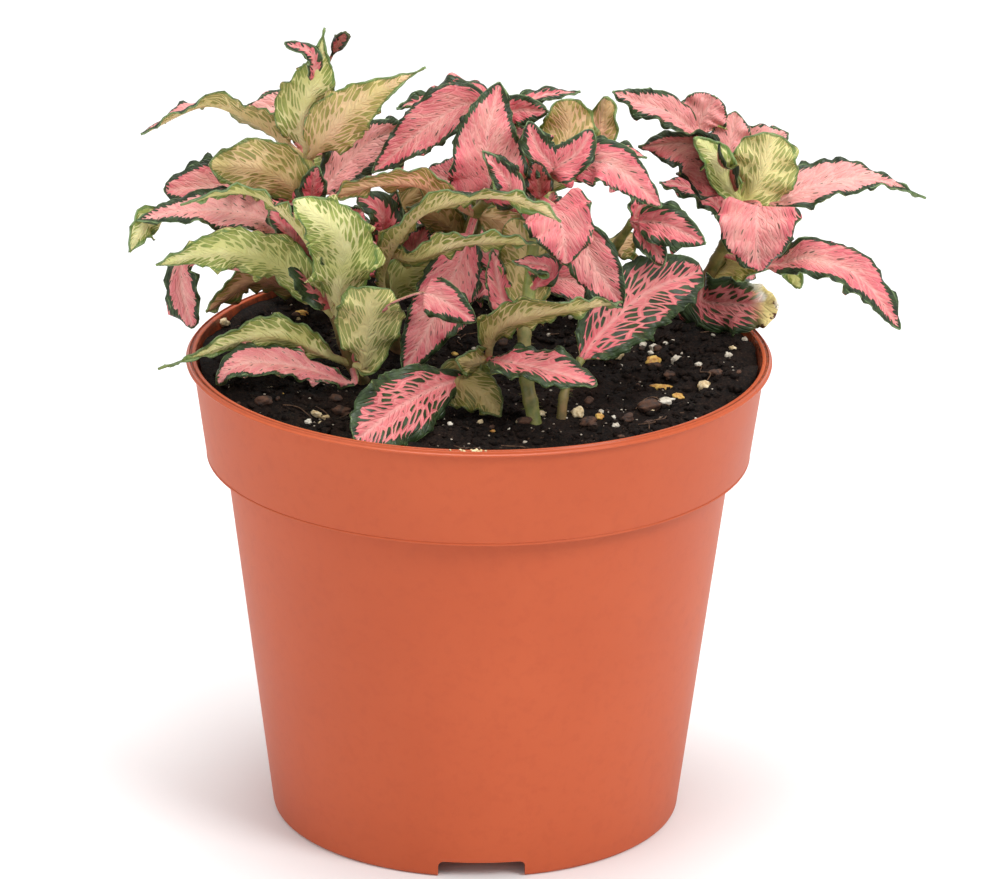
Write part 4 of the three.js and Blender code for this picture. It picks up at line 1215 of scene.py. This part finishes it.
def make_grains():
    for kind, places in GRAINS.items():
        lumps = [marked_grain(*place) for place in places]
        scale = BARK_SCALE if kind == "bark" else 1
        lumps += [loose_grain(scale) for _ in range(LOOSE_GRAINS[kind])]
        gather("grains_" + kind, lumps, grain_material("grain_" + kind, *GRAIN_COLOURS[kind]))


def low_points(pieces):
    """The leaf points close above the soil, to keep crumbs away from them."""
    low = []
    for piece in pieces:
        points = [vertex.co / MM for vertex in piece.data.vertices]
        low += [point for point in points if SOIL_TOP - 2 < point.z < SOIL_TOP + 8]
    tree = kdtree.KDTree(len(low))
    for i, point in enumerate(low):
        tree.insert(point, i)
    tree.balance()
    return tree


def make_crumbs(material, leaves):
    """Crumbs all over the soil, most of them small."""
    lumps = []
    for _ in range(CRUMBS):
        size = LEAST_CRUMB + CRUMB_SPAN * rng.random() ** CRUMB_RARITY
        centre = scattered()
        if leaves.find(centre)[2] > 0.8 * size + GAP:
            stretch = rng.uniform(1, 1.5)
            turn = rng.uniform(*ANY_TURN)
            lumps.append(lump(centre, size, stretch, turn, roughness=0.7, detail=2 if size > 1 else 1))
    gather("soil_crumbs", lumps, material)


def make_rim_crust(material):
    """Small pale specks on top of the rim, close together at the front."""
    lumps = []
    for _ in range(RIM_SPECKS):
        angle = radians(rng.gauss(CRUST_AROUND, CRUST_SPREAD))
        radius = rng.uniform(RIM_INNER_RADIUS + 0.1, LIP_RADIUS - 0.9)
        centre = Vector((radius * cos(angle), radius * sin(angle), POT_HEIGHT - 0.1))
        size = CRUST_SIZE * rng.uniform(0.5, 1)
        lumps.append(lump(centre, size, rng.uniform(1, 2), angle, roughness=0.6, detail=1))
    gather("rim_crust", lumps, material)


def make_fine_grit(material):
    """Fine pale specks all over the soil."""
    lumps = []
    for _ in range(FINE_SPECKS):
        size = rng.uniform(0.2, 0.5)
        centre = raised(scattered(), 0.3 * size)
        lumps.append(lump(centre, size, rng.uniform(1, 1.6), turn=0, roughness=0.5, detail=1))
    gather("soil_grit", lumps, material)


def fibre_route():
    """A line that wanders over the soil, cut short at the wall."""
    start = scattered()
    heading = rng.uniform(0, 2 * pi)
    points = []
    for k in range(FIBRE_POINTS):
        heading += rng.uniform(-0.6, 0.6)
        spot = start + Vector((cos(heading), sin(heading), 0)) * FIBRE_STEP * k
        if hypot(spot.x, spot.y) > SOIL_RADIUS - 1.5:
            break
        height = soil_surface(spot.x, spot.y) + FIBRE_LIFT + rng.uniform(0, 0.5)
        points.append(np.array([spot.x, spot.y, height]))
    return points


def make_fibres(material):
    """Fine roots and peat fibres lying on the soil."""
    routes = [fibre_route() for _ in range(FIBRES)]
    tubes = [
        tube_arrays(route, lambda along: FIBRE_RADIUS, FIBRE_SIDES, FIBRE_STEPS)
        for route in routes if len(route) > 2
    ]
    gather("soil_fibres", tubes, material)


# Stage, light and camera

def make_stage():
    corners = [(-1, -1), (1, -1), (1, 1), (-1, 1)]
    mesh = new_mesh("floor", [(x * FLOOR_HALF, y * FLOOR_HALF, 0) for x, y in corners], [(0, 1, 2, 3)])
    n = Nodes("floor_paint")
    colour = n.mix(n.noise(3.0), (0.9, 0.9, 0.9), (0.93, 0.93, 0.93))
    mesh.materials.append(n.surface(colour, 0.9, specular=0.1))
    floor = new_object("floor", mesh)


def make_light(name, place, size, power):
    """A round lamp, aimed at the middle of the plant and pot."""
    data = bpy.data.lights.new(name, "AREA")
    data.shape = "DISK"
    data.size = size
    data.energy = power
    light = new_object(name, data)
    light.location = place
    aim = Vector(LIGHT_AIM) - Vector(place)
    light.rotation_euler = aim.to_track_quat("-Z", "Y").to_euler()


def make_lighting():
    world = bpy.data.worlds.new("studio")
    bpy.context.scene.world = world
    world.use_nodes = True
    sky = world.node_tree.nodes["Background"].inputs
    sky["Color"].default_value = (1, 1, 1, 1)
    sky["Strength"].default_value = SKY_STRENGTH
    for name, settings in LIGHTS.items():
        make_light(name, *settings)
    bpy.context.scene.view_settings.view_transform = "Standard"


def make_camera():
    data = bpy.data.cameras.new("camera")
    data.sensor_fit = "HORIZONTAL"
    data.sensor_width = SENSOR_MM
    data.lens = FOCAL_PX / PICTURE_WIDTH_PX * SENSOR_MM
    data.clip_end = 20
    camera = new_object("camera", data)
    forward = Vector((sin(PAN) * cos(TILT), cos(PAN) * cos(TILT), -sin(TILT)))
    level = Vector((cos(PAN), -sin(PAN), 0))
    upward = level.cross(forward)
    right = level * cos(LEAN) + upward * sin(LEAN)
    above = upward * cos(LEAN) - level * sin(LEAN)
    turn = Matrix((right, above, -forward)).transposed()
    camera.matrix_world = Matrix.Translation(Vector(EYE) * MM) @ turn.to_4x4()
    bpy.context.scene.camera = camera


make_camera()
make_stage()
make_lighting()
make_pot()
skins = [leaf_material(), stem_material()]
stems = [
    make_leafy_stem(name, plan, skins, SEED_SPACING * order)
    for order, (name, plan) in enumerate(STEMS.items())
]
soil_skin = soil_material()
make_soil(soil_skin)
make_crumbs(soil_skin, low_points(stems))
make_grains()
make_fibres(grain_material("fibre", rgb(62, 40, 28), rgb(108, 78, 54), 0.7))
make_fine_grit(grain_material("grit", rgb(120, 104, 88), rgb(214, 202, 184), 0.7))
make_rim_crust(grain_material("crust", rgb(190, 150, 92), rgb(232, 214, 172), 0.7))
